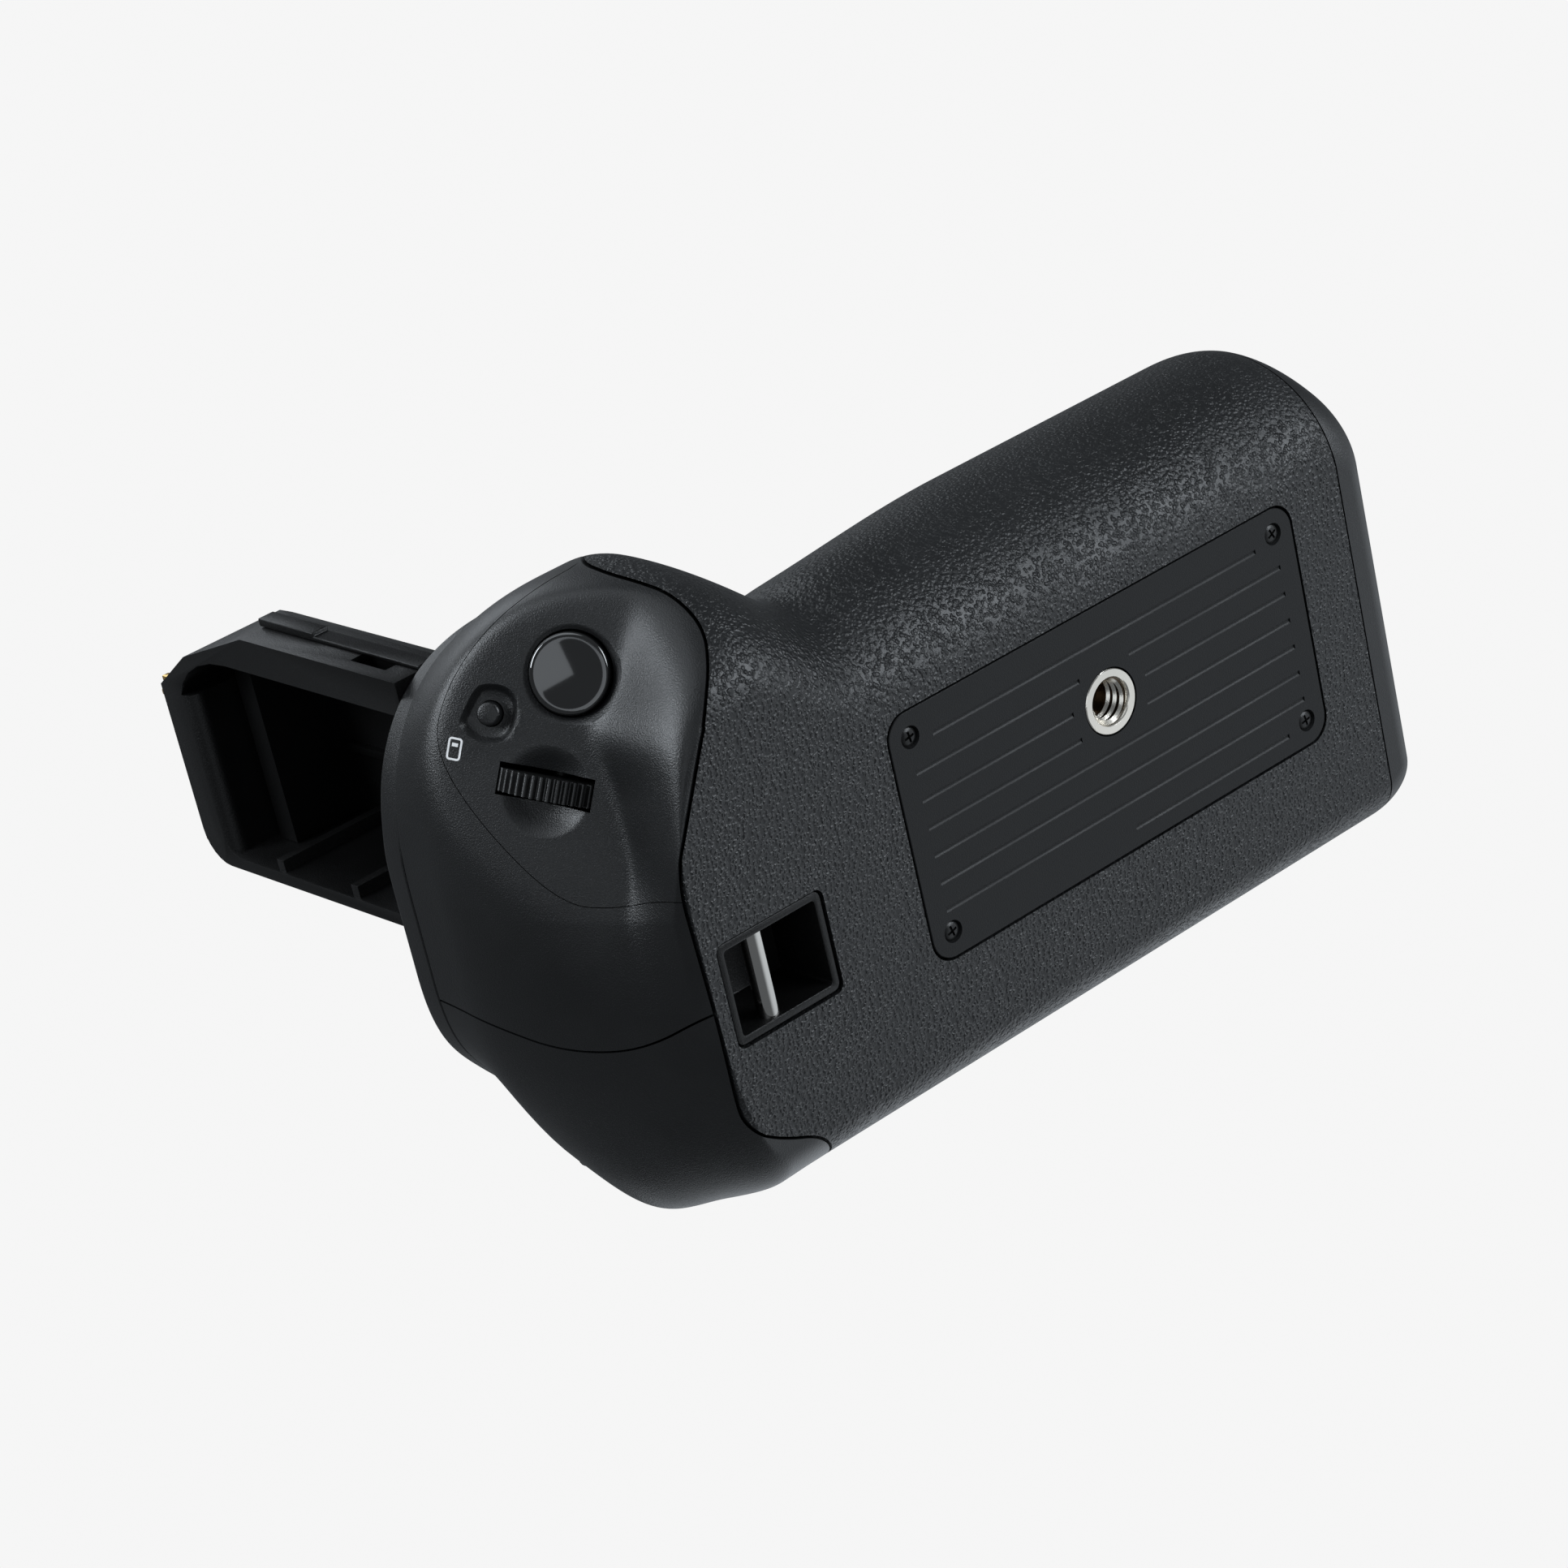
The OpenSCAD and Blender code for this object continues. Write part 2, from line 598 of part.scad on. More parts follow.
module shell_front() color([0.13, 0.13, 0.14]) difference() {
    intersection() {
        shell_solid();
        above_floor(wall_parting_y, big);
    }
    bridge_zone();
    low_corner();
}
module shell_rear() color([0.13, 0.13, 0.14]) difference() {
    intersection() {
        shell_solid();
        above_floor(-big, wall_parting_y);
    }
    bridge_zone();
    low_corner();
}
module shell_bridge() color([0.13, 0.13, 0.14]) intersection() {
    shell_solid();
    bridge_zone();
}

module end_cover() color([0.1, 0.1, 0.11]) difference() {
    union() {
        difference() {
            intersection() {
                body_skin();
                cover_region(0);
                ahead_of_rear_seam(-seam_gap / 2);
            }
            panel_region(seam_gap);
            nose_region(0);
        }
        deck_boss(5);
        intersection() {
            ribs_inside() for (z = [12 : 4 : 36]) hull() {
                box([78, -10.5, z], [90, -9.5, z + 1.2]);
                box([78, 6, z], [90, 7, z + 1.2]);
            }
            difference() {
                cover_region(-0.5);
                panel_region(1);
            }
        }
    }
    deck_boss_hole(5);
}

module rear_cover() color([0.1, 0.1, 0.11]) difference() {
    union() {
        intersection() {
            body_skin();
            cover_region(0);
            behind_rear_seam(-seam_gap / 2);
        }
        deck_boss(6);
        for (at = rear_posts_at) let (y = rear_at(at[0], at[1]) + skin_t / 2)
            hull() {
                rod_y([at[0], y, at[1]], 1.4 * rear_post_r, eps, $fn = 16);
                rod_y([at[0], carrier_y - 1, at[1]], rear_post_r, 1, $fn = 16);
            }
        intersection() {
            ribs_inside() for (x = [62 : 5 : 82]) hull() {
                box([x, -50, 4], [x + 1.2, -49, 18]);
                box([x, -15.5, 4], [x + 1.2, -14.5, 18]);
            }
            cover_region(-0.5);
            behind_rear_seam(-1);
        }
    }
    deck_boss_hole(6);
    for (x = rear_buttons_x) rod_y([x, -60, rear_button_z], rear_button_r + 0.3, 40);
    translate([power_at[0] - 2.5, -60, power_at[1] - 1.8]) cube([5 + power_travel, 25, 3.6]);
}

panel_posts_at = [[-7.2, 5], [-7.2, -5], [3.6, -9.2]];
module panel_post(at, tip_r, root_r) hull() {
    facet_rod(at[0], at[1], -carrier_top, -carrier_top + 1, tip_r, $fn = 16);
    facet_rod(at[0], at[1], -skin_t, -skin_t / 2, root_r, $fn = 16);
}
module panel_rib(from, to) hull() for (at = [from, mix(from, to, 0.3)])
    facet_rod(at[0], at[1], -skin_t - 1, -skin_t / 2, 0.6, $fn = 8);
module control_panel() color([0.1, 0.1, 0.11]) difference() {
    union() {
        intersection() {
            body_skin();
            panel_zone(0);
            panel_region(0);
        }
        intersection() {
            panel_region(-0.6);
            union() {
                facet_rod(dial_at[0], dial_at[1], -4.8, -1.2, 9.6, $fn = 32);
                for (at = panel_posts_at) {
                    panel_post(at, 1.4, 2.4);
                    panel_rib(at, shutter_at);
                    panel_rib(at, dial_at);
                }
            }
        }
    }
    facet_rod(shutter_at[0], shutter_at[1], -4, 8, shutter_r + 0.35, $fn = 36);
    facet_rod(shutter_at[0], shutter_at[1], -0.6, 8, shutter_r + 0.9, $fn = 36);
    facet_rod(function_at[0], function_at[1], -4, 8, function_r + 0.3, $fn = 24);
    on_facet(function_at[0], function_at[1], -0.9) hull() {
        rotate([0, 90, 0]) cylinder(r = function_r + 1.5, h = 8, $fn = 32);
        translate([0, -3.4, -0.6]) cube([8, 1, 4.4]);
    }
    on_facet(dial_at[0], dial_at[1], 0) scale([scoop_deep / scoop_r, 1, 1]) sphere(r = scoop_r, $fn = 28);
    facet_box(dial_at[0], dial_at[1], -8, 8, slot_u, slot_v);
    on_facet(dial_at[0], dial_at[1], -dial_depth) rotate([90, 0, 0])
        cylinder(r = dial_r + 0.4, h = slot_u, center = true, $fn = 32);
}

function deck_line(s) = [for (p = plan(body_h, s, 1))
    let (q = swollen(concat(p, [body_h]))) [q[0], q[1]]];
module deck_plate() color([0.11, 0.11, 0.12]) difference() {
    union() {
        translate([0, 0, deck_z]) linear_extrude(deck_t - 0.8) polygon(deck_line(0));
        translate([0, 0, deck_z]) linear_extrude(deck_t) polygon(deck_line(0.7));
    }
    rod_z([0, 0, deck_z - 1], bush_r, deck_t + 2);
    rod_z([0, pin_y, deck_z - 1], pin_r - pin_shoulder + 0.02, deck_t + 2);
    for (s = deck_screws_at) screw_seat(s[0], deck_top, true);
}

pad_w = 28;
pads_at = [[-42, -22], [14, -22]];
module deck_pads() color([0.08, 0.08, 0.085]) for (at = pads_at)
    translate(concat(at, [deck_top])) slab([pad_w, pad_w, pad_t], 2);

// Sleeve of flat plates: floor and roof, two sides, and a back that carries the board
sleeve_mouth = cap_x + run_gap;
module magazine_sleeve() color([0.2, 0.2, 0.21]) for (z = [sleeve_z, sleeve_top - sleeve_wall])
    box([sleeve_mouth, sleeve_y[0], z], [sleeve_end, sleeve_y[1], z + sleeve_wall]);
module sleeve_sides() color([0.2, 0.2, 0.21]) difference() {
    for (y = [sleeve_y[0], sleeve_y[1] - sleeve_wall])
        box([sleeve_mouth, y, sleeve_z + sleeve_wall],
            [sleeve_end, y + sleeve_wall, sleeve_top - sleeve_wall]);
    for (x = [-30, 0]) box([x, sleeve_y[0] - 1, 14], [x + 22, sleeve_y[1] + 1, 22]);
}
module sleeve_back() color([0.2, 0.2, 0.21]) {
    box([sleeve_end - sleeve_wall, sleeve_y[0] + sleeve_wall, sleeve_z + sleeve_wall],
        [sleeve_end, sleeve_y[1] - sleeve_wall, sleeve_top - sleeve_wall]);
    for (y = [-21, 21], z = [11, 26]) rod_x([sleeve_end - eps, magazine_y + y, z], 1.8, 1.5 + eps);
}

groove_reach = 34.2;
groove_short = 30.2;
groove_first_y = 8.95;
socket_clear = 6.8;
groove_r = 0.55;
groove_deep = 0.5;
module groove(x0, x1, y) {
    box([x0, y - groove_r, -eps], [x1, y + groove_r, groove_deep]);
    for (x = [x0, x1]) rod_z([x, y, -eps], groove_r, groove_deep + eps);
}
module tripod_plate() color([0.08, 0.08, 0.085]) difference() {
    translate([-plate_l / 2, plate_mid - plate_w / 2, 0]) slab([plate_l, plate_w, plate_t], 3.5);
    rod_z([0, 0, -1], insert_r + 0.05, plate_t + 2);
    for (at = plate_screws_at) screw_seat(at, 0, false);
    for (k = [0 : 7], s = [-1, 1]) let (
            y = groove_first_y - k * groove_pitch,
            inner = sqrt(max(0, socket_clear * socket_clear - y * y)),
            beside_screw = abs(abs(y - plate_mid) - plate_screw_y / 2) < 2.5,
            reach = beside_screw ? groove_short : groove_reach)
        if (k < 7 || s < 0) groove(s < 0 ? -reach : inner, s < 0 ? -inner : reach, y);
}

module tripod_insert() color([0.75, 0.75, 0.74]) difference() {
    rod_z([0, 0, 0], insert_r, floor_t);
    rod_z([0, 0, -1], socket_r, floor_t + 2);
}

module plate_screws() color([0.12, 0.12, 0.12]) for (at = plate_screws_at) screw(at, 0, false);

module strap_frame() color([0.09, 0.09, 0.095]) difference() {
    union() {
        translate([strap_low[0] - strap_flange, strap_low[1] - strap_flange, 0])
            slab([strap_l + 2 * strap_flange, strap_w + 2 * strap_flange, 1.4], 1.1);
        translate([strap_low[0] - strap_wall, strap_low[1] - strap_wall, 0])
            cube([strap_l + 2 * strap_wall, strap_w + 2 * strap_wall, strap_depth + strap_wall]);
    }
    translate([strap_low[0], strap_low[1], -1]) cube([strap_l, strap_w, strap_depth + 1]);
    rod_y([strap_bar_x, strap_low[1] - 1, strap_bar_z], strap_bar_r, strap_w + 2);
}

module strap_bar() color([0.72, 0.72, 0.72])
    rod_y([strap_bar_x, strap_low[1] - 1, strap_bar_z], strap_bar_r - 0.02, strap_w + 2);

rail_x = pillar_x + corner_cut[0] + 1.8;
rail_low = 24;
rail_high = 37;
clip_window = [5, 13];
module pillar() color([0.14, 0.14, 0.15]) difference() {
    union() {
        difference() {
            intersection() {
                along_x(pillar_x, pillar_edge[0]) polygon(pillar_side());
                translate([0, 0, deck_top]) linear_extrude(pillar_h) polygon(pillar_plan(0, 0));
            }
            intersection() {
                along_x(pillar_x, pillar_edge[0] + 1) polygon(hollow_side());
                translate([0, 0, deck_top]) linear_extrude(pillar_h)
                    polygon(pillar_plan(pillar_wall, pillar_front_wall));
            }
        }
        for (z = [24, 42]) box([pillar_x + 1, pillar_y + 1, deck_top + z],
            [pillar_edge[0] - 0.4, pillar_y + pillar_wall + 1.8, deck_top + z + 1.6]);
        for (y = [2, 13]) box([pillar_x + 1, y, deck_top + 1],
            [pillar_x + pillar_wall + 1, y + 1.2, contact_block_z - 1]);
    }
    box([pillar_edge[0] - 5.4, pillar_edge[1] - pillar_front_wall - 1, deck_top + clip_window[0]],
        [pillar_edge[0] - 2.2, pillar_edge[1] + 1, deck_top + clip_window[1]]);
    for (y = tip_contacts_y) box([pillar_x + blade_x[0] - 0.1, y - 0.1, contact_block_z + 2],
        [pillar_x + blade_x[1] + 0.1, y + blade_t + 0.1, pillar_top + 1]);
}

module pillar_rail() color([0.12, 0.12, 0.125]) {
    box([rail_x, pillar_edge[1], deck_top], [rail_x + 2.6, pillar_edge[1] + 0.6, deck_top + rail_low]);
    box([rail_x, pillar_edge[1], deck_top + rail_low - eps],
        [rail_x + 2.6, pillar_edge[1] + 1.2, deck_top + rail_high]);
}

module pillar_contact_block() color([0.16, 0.16, 0.17])
    box([pillar_x + pillar_wall, tip_contacts_y[0] - 1.2, contact_block_z],
        [pillar_x + blade_x[1] + 2, 18.9, contact_block_z + 4]);

module pillar_contacts() color([0.85, 0.62, 0.2]) for (y = tip_contacts_y)
    box([pillar_x + blade_x[0], y, contact_block_z + 4],
        [pillar_x + blade_x[1], y + blade_t, tip_z(y) + 1.1]);

module deck_screws() color([0.55, 0.55, 0.55]) for (s = deck_screws_at) screw(s[0], deck_top, true);

module locating_pin() color([0.75, 0.75, 0.74]) {
    rod_z([0, pin_y, deck_z], pin_r - pin_shoulder, deck_t);
    rod_z([0, pin_y, deck_top], pin_r, pin_h);
}

module screw_bush() color([0.7, 0.55, 0.3]) difference() {
    rod_z([0, 0, deck_z], bush_r - 0.02, deck_t);
    rod_z([0, 0, deck_z - 1], neck_r + shaft_gap, deck_t + 2);
}

module wheel_axle() color([0.7, 0.7, 0.7]) rod_z([0, wheel_y, sleeve_top], axle_r, deck_z - sleeve_top);

module drive_wheel() color([0.15, 0.15, 0.15]) translate([0, wheel_y, 0]) difference() {
    union() {
        translate([0, 0, gear_z]) rotate(90 + 180 / wheel_teeth)
            linear_extrude(gear_t) polygon(gear_points(wheel_teeth));
        translate([0, 0, sleeve_top + run_gap]) cylinder(r = 5, h = deck_z - sleeve_top - 2 * run_gap);
    }
    translate([0, 0, sleeve_top]) cylinder(r = axle_r + shaft_gap, h = deck_z - sleeve_top);
}

module attachment_screw() color([0.72, 0.72, 0.72]) {
    translate([0, 0, gear_z]) rotate(-90) linear_extrude(gear_t) polygon(gear_points(screw_teeth));
    rod_z([0, 0, sleeve_top + run_gap], 5, gear_z - sleeve_top - run_gap);
    rod_z([0, 0, gear_z + gear_t], 5.6, deck_z - run_gap - gear_z - gear_t);
    rod_z([0, 0, deck_z - run_gap], neck_r, deck_t + run_gap);
    rod_z([0, 0, deck_top], stud_r, stud_len);
}

contact_rows = [-20, -14, -2.5, 3.5];
module bay_contacts() color([0.85, 0.62, 0.2]) for (y = contact_rows)
    box([tray_end + 2 * run_gap, y, 14], [tray_end + contact_room, y + 2.4, 19]);

module circuit_board() color([0.1, 0.3, 0.15])
    box([sleeve_end + 1.5, magazine_y - 25, 8.5], [sleeve_end + 2.9, magazine_y + 25, 28.5]);

module control_carrier() color([0.22, 0.22, 0.23]) difference() {
    union() {
        facet_prism(-carrier_top - carrier_t, -carrier_top) polygon(carrier_plan);
        for (s = [-1, 1]) facet_box(dial_at[0] + s * (bearing_u + bearing_t / 2), dial_at[1],
            -dial_depth - 2.4, -carrier_top, bearing_t, 6);
        for (at = carrier_feet_at)
            facet_rod(at[0], at[1], -board_top, -carrier_top - carrier_t + eps, 1.3);
    }
    facet_rod(shutter_at[0], shutter_at[1], -20, 0, shutter_stem_r + shaft_gap);
    facet_rod(function_at[0], function_at[1], -20, 0, function_stem_r + shaft_gap);
    facet_box(dial_at[0], dial_at[1], -20, 0, 2 * (bearing_u + eps), 2 * dial_r + 1);
    on_facet(dial_at[0], dial_at[1], -dial_depth) rotate([90, 0, 0])
        cylinder(r = dial_axle_r, h = 2 * (bearing_u + bearing_t) + 1, center = true);
}

module control_board() color([0.1, 0.3, 0.15])
    facet_box(2.2, 2.5, -board_top - 1.2, -board_top, 17, 18);

module control_switches() color([0.6, 0.6, 0.58]) for (at = [shutter_at, function_at])
    facet_box(at[0], at[1], -board_top, -board_top + switch_h, 4, 4);

module dial_axle() color([0.7, 0.7, 0.7]) on_facet(dial_at[0], dial_at[1], -dial_depth) rotate([90, 0, 0])
    cylinder(r = dial_axle_r - 0.02, h = 2 * (bearing_u + bearing_t), center = true);

module control_dial() color([0.1, 0.1, 0.1])
    on_facet(dial_at[0], dial_at[1], -dial_depth) rotate([90, 0, 0]) difference() {
    linear_extrude(dial_w, center = true) polygon([for (k = [0 : 35]) each [
        for (c = [[-2.6, -0.5], [-1.4, 0], [1.4, 0], [2.6, -0.5]])
            (dial_r + c[1]) * [cos(10 * k + c[0]), sin(10 * k + c[0])]]]);
    cylinder(r = dial_axle_r + shaft_gap, h = dial_w + 2, center = true);
}

module push_button(r, stem_r, proud, back, stem_back) rotate([0, 90, 0]) {
    rotate_extrude() polygon([[0, -back], [r, -back], [r, proud - 0.5],
        [r - 0.25, proud - 0.2], [r - 0.7, proud], [0, proud + 0.1]]);
    translate([0, 0, -stem_back]) cylinder(r = stem_r, h = stem_back - back + eps);
}
module shutter_button() color([0.04, 0.04, 0.045]) on_facet(shutter_at[0], shutter_at[1], 0)
    push_button(shutter_r, shutter_stem_r, 0.7, 2, shutter_stem_end);
module function_button() color([0.09, 0.09, 0.095]) on_facet(function_at[0], function_at[1], 0)
    push_button(function_r, function_stem_r, 0.3, 2.2, function_stem_end);

power_face = rear_at(power_at[0], power_at[1]);
power_wing = skin_t + 0.6;
module rear_carrier() color([0.22, 0.22, 0.23]) difference() {
    box([carrier_low[0], carrier_y, carrier_low[1]], [carrier_high[0], carrier_y + 1.4, carrier_high[1]]);
    for (x = rear_buttons_x) rod_y([x, carrier_y - 1, rear_button_z], rear_stem_r + shaft_gap, 4);
    box([power_at[0] - 2.2, carrier_y - 1, power_at[1] - 1.3],
        [power_at[0] + power_travel + 2.2, carrier_y + 3, power_at[1] + 1.3]);
}

module rear_switches() color([0.6, 0.6, 0.58]) {
    box([carrier_low[0], carrier_y + 6, body_h - 11.6], [carrier_high[0], carrier_y + 7.2, carrier_high[1]]);
    for (x = rear_buttons_x)
        box([x - 2, rear_switch_y, rear_button_z - 2], [x + 2, carrier_y + 6, rear_button_z + 2]);
    for (x = [65.7, 71.5]) rod_y([x, carrier_y + 1.4, body_h - 10.2], 0.9, 4.6);
}

module rear_button(k) let (
        x = rear_buttons_x[k],
        y = rear_at(x, rear_button_z))
    translate([x, y, rear_button_z]) rotate([0, 0, -90])
        push_button(rear_button_r, rear_stem_r, 0.6, 3, rear_switch_y - rear_travel - 0.4 - y);
module rear_button_1() color([0.11, 0.11, 0.115]) rear_button(0);
module rear_button_2() color([0.11, 0.11, 0.115]) rear_button(1);
module rear_button_3() color([0.11, 0.11, 0.115]) rear_button(2);

module power_switch() color([0.12, 0.12, 0.125]) translate([power_at[0], power_face, power_at[1]]) {
    box([-2, -0.7, -1.4], [2, power_wing, 1.4]);
    box([-3.4, power_wing - eps, -3], [3.4, power_wing + 1.2, 3]);
    box([-1.6, power_wing + 1, -1], [1.6, carrier_y + 2 - power_face, 1]);
}

// Tray of flat plates: a floor with two windows, two sides with thumb notches, three partitions
bay_pitch = battery_w + tray_wall;
module in_tray() translate([cap_x, magazine_y - tray_w / 2, tray_z]) children();
module magazine_tray() color([0.16, 0.16, 0.17]) in_tray() difference() {
    cube([tray_l, tray_w, tray_wall]);
    for (k = [0, 1]) translate([tray_wall + k * bay_pitch + 8, tray_wall + 10, -1])
        cube([battery_w - 16, battery_l - 20, tray_wall + 2]);
}
module tray_sides() color([0.16, 0.16, 0.17]) in_tray() difference() {
    for (y = [0, tray_w - tray_wall]) translate([0, y, tray_wall])
        cube([tray_l, tray_wall, tray_h - tray_wall]);
    for (k = [0, 1]) translate([tray_wall + k * bay_pitch + battery_w / 2 - 8, -1, tray_wall + 12])
        cube([16, tray_wall + 2, tray_h]);
}
module tray_partitions() color([0.16, 0.16, 0.17]) in_tray() for (k = [0 : 2])
    translate([k * bay_pitch, tray_wall, tray_wall])
        cube([tray_wall, tray_w - 2 * tray_wall, tray_h - tray_wall]);

module tray_contacts() color([0.85, 0.62, 0.2]) {
    for (k = [0, 1], j = [-1, 0, 1]) translate([
        cap_x + tray_wall + k * (battery_w + tray_wall) + battery_w / 2 + 5 * j - 1,
        magazine_y + tray_w / 2 - tray_wall - 0.5, tray_z + 8]) cube([2, 0.5, 7]);
    for (y = contact_rows) box([tray_end, y, 14], [tray_end + run_gap, y + 2.4, 19]);
}

// Release knob on the magazine's end cap
knob_at = [magazine_y, 17.5];
knob_floor = -left_len + 4.9;
knob_wall = 1.5;
spindle_r = 3;
knob_bush_r = 4.5;
tongue_reach = 14;
module magazine_cap() color([0.13, 0.13, 0.14]) difference() {
    intersection() {
        body_outside();
        cap_block(0);
    }
    rod_x([-left_len - 1, knob_at[0], knob_at[1]], knob_r + 0.35, knob_floor + left_len + 1);
    rod_x([knob_floor - 1, knob_at[0], knob_at[1]], knob_bush_r + 0.02, 4);
    rod_x([knob_floor + knob_wall, knob_at[0], knob_at[1]], tongue_reach + 0.6, 10);
    for (y = [-37, -30, 8, 14.5], z = [7, 17.5]) translate([cap_x + eps, y, z]) rotate([0, -90, 0])
        slab([9, 5.2, 5], 1);
}

module knob_bush() color([0.7, 0.55, 0.3]) difference() {
    rod_x([knob_floor, knob_at[0], knob_at[1]], knob_bush_r - 0.1, knob_wall);
    rod_x([knob_floor - 1, knob_at[0], knob_at[1]], spindle_r + shaft_gap, knob_wall + 2);
}

module release_knob() color([0.1, 0.1, 0.105]) {
    rod_x([knob_floor - 1.8, knob_at[0], knob_at[1]], knob_r, 1.5);
    intersection() {
        rod_x([-left_len + 0.3, knob_at[0], knob_at[1]], knob_r, 4);
        box([-left_len + 0.3, knob_at[0] - 2.4, 0], [knob_floor - 1, knob_at[0] + 2.4, 40]);
    }
    rod_x([knob_floor - 0.4, knob_at[0], knob_at[1]], spindle_r, cap_x - knob_floor - 0.2);
}

module latch_tongue() color([0.7, 0.7, 0.7]) difference() {
    union() {
        rod_x([knob_floor + knob_wall + run_gap, knob_at[0], knob_at[1]], spindle_r + 2, 1.4);
        box([knob_floor + knob_wall + run_gap, knob_at[0] - 3, knob_at[1]],
            [knob_floor + knob_wall + run_gap + 1.4, knob_at[0] + 3, knob_at[1] + tongue_reach - 0.6]);
    }
    rod_x([knob_floor, knob_at[0], knob_at[1]], spindle_r, 10);
}

bottom_shell();
shell_front();
shell_rear();
shell_bridge();
end_cover();
control_panel();
rear_cover();
deck_plate();
deck_pads();
magazine_sleeve();
sleeve_sides();
sleeve_back();
tripod_plate();
tripod_insert();
plate_screws();
strap_frame();
strap_bar();
pillar();
pillar_rail();
pillar_contact_block();
pillar_contacts();
deck_screws();
locating_pin();
screw_bush();
wheel_axle();
drive_wheel();
attachment_screw();
bay_contacts();
circuit_board();
control_carrier();
control_board();
control_switches();
dial_axle();
rear_carrier();
rear_switches();
magazine_tray();
tray_sides();
tray_partitions();
magazine_cap();
tray_contacts();
knob_bush();
release_knob();
latch_tongue();
shutter_button();
function_button();
control_dial();
rear_button_1();
rear_button_2();
rear_button_3();
power_switch();
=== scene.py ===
# %% [markdown]
# # A camera battery grip, dressed for its picture
# A battery grip is a hollow handle that screws under a camera. It holds two batteries in a
# pull-out magazine and repeats the shutter controls for upright shots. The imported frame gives
# every solid in metres. This lesson rebuilds the moulded skins in a finer mesh, adds threads,
# screws and grain, and lights the whole like a shop picture.

# %% Load the frame
import json
import math

import bmesh
import bpy
import numpy as np
from mathutils import Matrix, Vector


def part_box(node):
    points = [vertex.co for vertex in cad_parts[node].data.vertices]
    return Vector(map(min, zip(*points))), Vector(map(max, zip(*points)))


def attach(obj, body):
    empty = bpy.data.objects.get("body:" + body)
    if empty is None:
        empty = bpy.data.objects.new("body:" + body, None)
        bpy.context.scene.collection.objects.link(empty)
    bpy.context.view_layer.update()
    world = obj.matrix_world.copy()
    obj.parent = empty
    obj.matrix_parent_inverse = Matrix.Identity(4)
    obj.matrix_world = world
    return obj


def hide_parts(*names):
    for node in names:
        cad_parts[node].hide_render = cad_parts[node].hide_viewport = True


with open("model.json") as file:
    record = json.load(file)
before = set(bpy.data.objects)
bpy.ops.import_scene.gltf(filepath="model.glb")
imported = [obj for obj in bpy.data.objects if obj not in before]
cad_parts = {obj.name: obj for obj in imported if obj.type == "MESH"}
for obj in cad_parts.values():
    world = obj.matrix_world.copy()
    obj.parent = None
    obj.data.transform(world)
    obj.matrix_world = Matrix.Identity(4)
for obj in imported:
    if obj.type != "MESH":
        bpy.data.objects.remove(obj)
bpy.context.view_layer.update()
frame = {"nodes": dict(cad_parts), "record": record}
MM = 0.001
slot_of = {row["node"]: row["material_slot"] for row in frame["record"]["subparts"]}

# %% [markdown]
# ## Small helpers
# Every piece is made in millimetres, as the drawing is, and scaled once when its mesh is made.
# A modifier's result is baked into a plain mesh before the piece is handed over. The last helper
# hangs a piece on the empty of the body it rides on, gives it the finish of its slot and hides
# the solids it stands for.

# %% Helpers for making and handing over pieces
SHARP = math.radians(32)


def place(name, data):
    piece = bpy.data.objects.new(name, data)
    bpy.context.scene.collection.objects.link(piece)
    return piece


def new_piece(name, points, faces, edges=()):
    mesh = bpy.data.meshes.new(name)
    mesh.from_pydata([tuple(MM * c for c in p) for p in points], list(edges), faces)
    return place(name, mesh)


def settle(piece):
    bpy.context.view_layer.update()
    graph = bpy.context.evaluated_depsgraph_get()
    baked = bpy.data.meshes.new_from_object(piece.evaluated_get(graph))
    old = piece.data
    piece.modifiers.clear()
    piece.data = baked
    bpy.data.meshes.remove(old)
    return piece


def discard(piece):
    mesh = piece.data
    bpy.data.objects.remove(piece)
    bpy.data.meshes.remove(mesh)


def outward(piece):
    work = bmesh.new()
    work.from_mesh(piece.data)
    bmesh.ops.recalc_face_normals(work, faces=work.faces)
    work.to_mesh(piece.data)
    work.free()
    return piece


def smooth(piece):
    piece.data.shade_smooth()
    piece.data.set_sharp_from_angle(angle=SHARP)
    return piece


def carve(piece, *tools, how="DIFFERENCE"):
    for tool in tools:
        cut = piece.modifiers.new("carve", "BOOLEAN")
        cut.operation = how
        cut.solver = "MANIFOLD"
        cut.object = tool
        settle(piece)
        discard(tool)
    return piece


def copy_of(piece, name):
    return place(name, piece.data.copy())


def hand_over(piece, body, slot, *nodes, look=None):
    piece.data.materials.clear()
    piece.data.materials.append(finishes[look or slot])
    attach(piece, body)
    if nodes:
        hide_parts(*nodes)
    print(piece.name, "rides", body, "with", len(piece.data.polygons), "faces")


# %% [markdown]
# ## Finishes
# The grip is nearly all black, so its materials differ in grain and gloss more than in colour.
# The shell has a moulded pebble grain, the covers a fine spark-eroded satin, the plate a
# smooth enamel. Two effects serve many finishes, so each is a shader group with named sockets:
# one for the pebbles and one for the slow unevenness that handling leaves.

# %% Shader groups
VALUE = "NodeSocketFloat"


def shader_group(name, inputs, outputs):
    tree = bpy.data.node_groups.new(name, "ShaderNodeTree")
    for label, start in inputs:
        tree.interface.new_socket(label, in_out="INPUT", socket_type=VALUE).default_value = start
    for label in outputs:
        tree.interface.new_socket(label, in_out="OUTPUT", socket_type=VALUE)
    return tree, tree.nodes.new("NodeGroupInput"), tree.nodes.new("NodeGroupOutput")


def add(tree, kind, sockets=None, **settings):
    node = tree.nodes.new(kind)
    for key, value in settings.items():
        setattr(node, key, value)
    for label, value in (sockets or {}).items():
        node.inputs[label].default_value = value
    return node


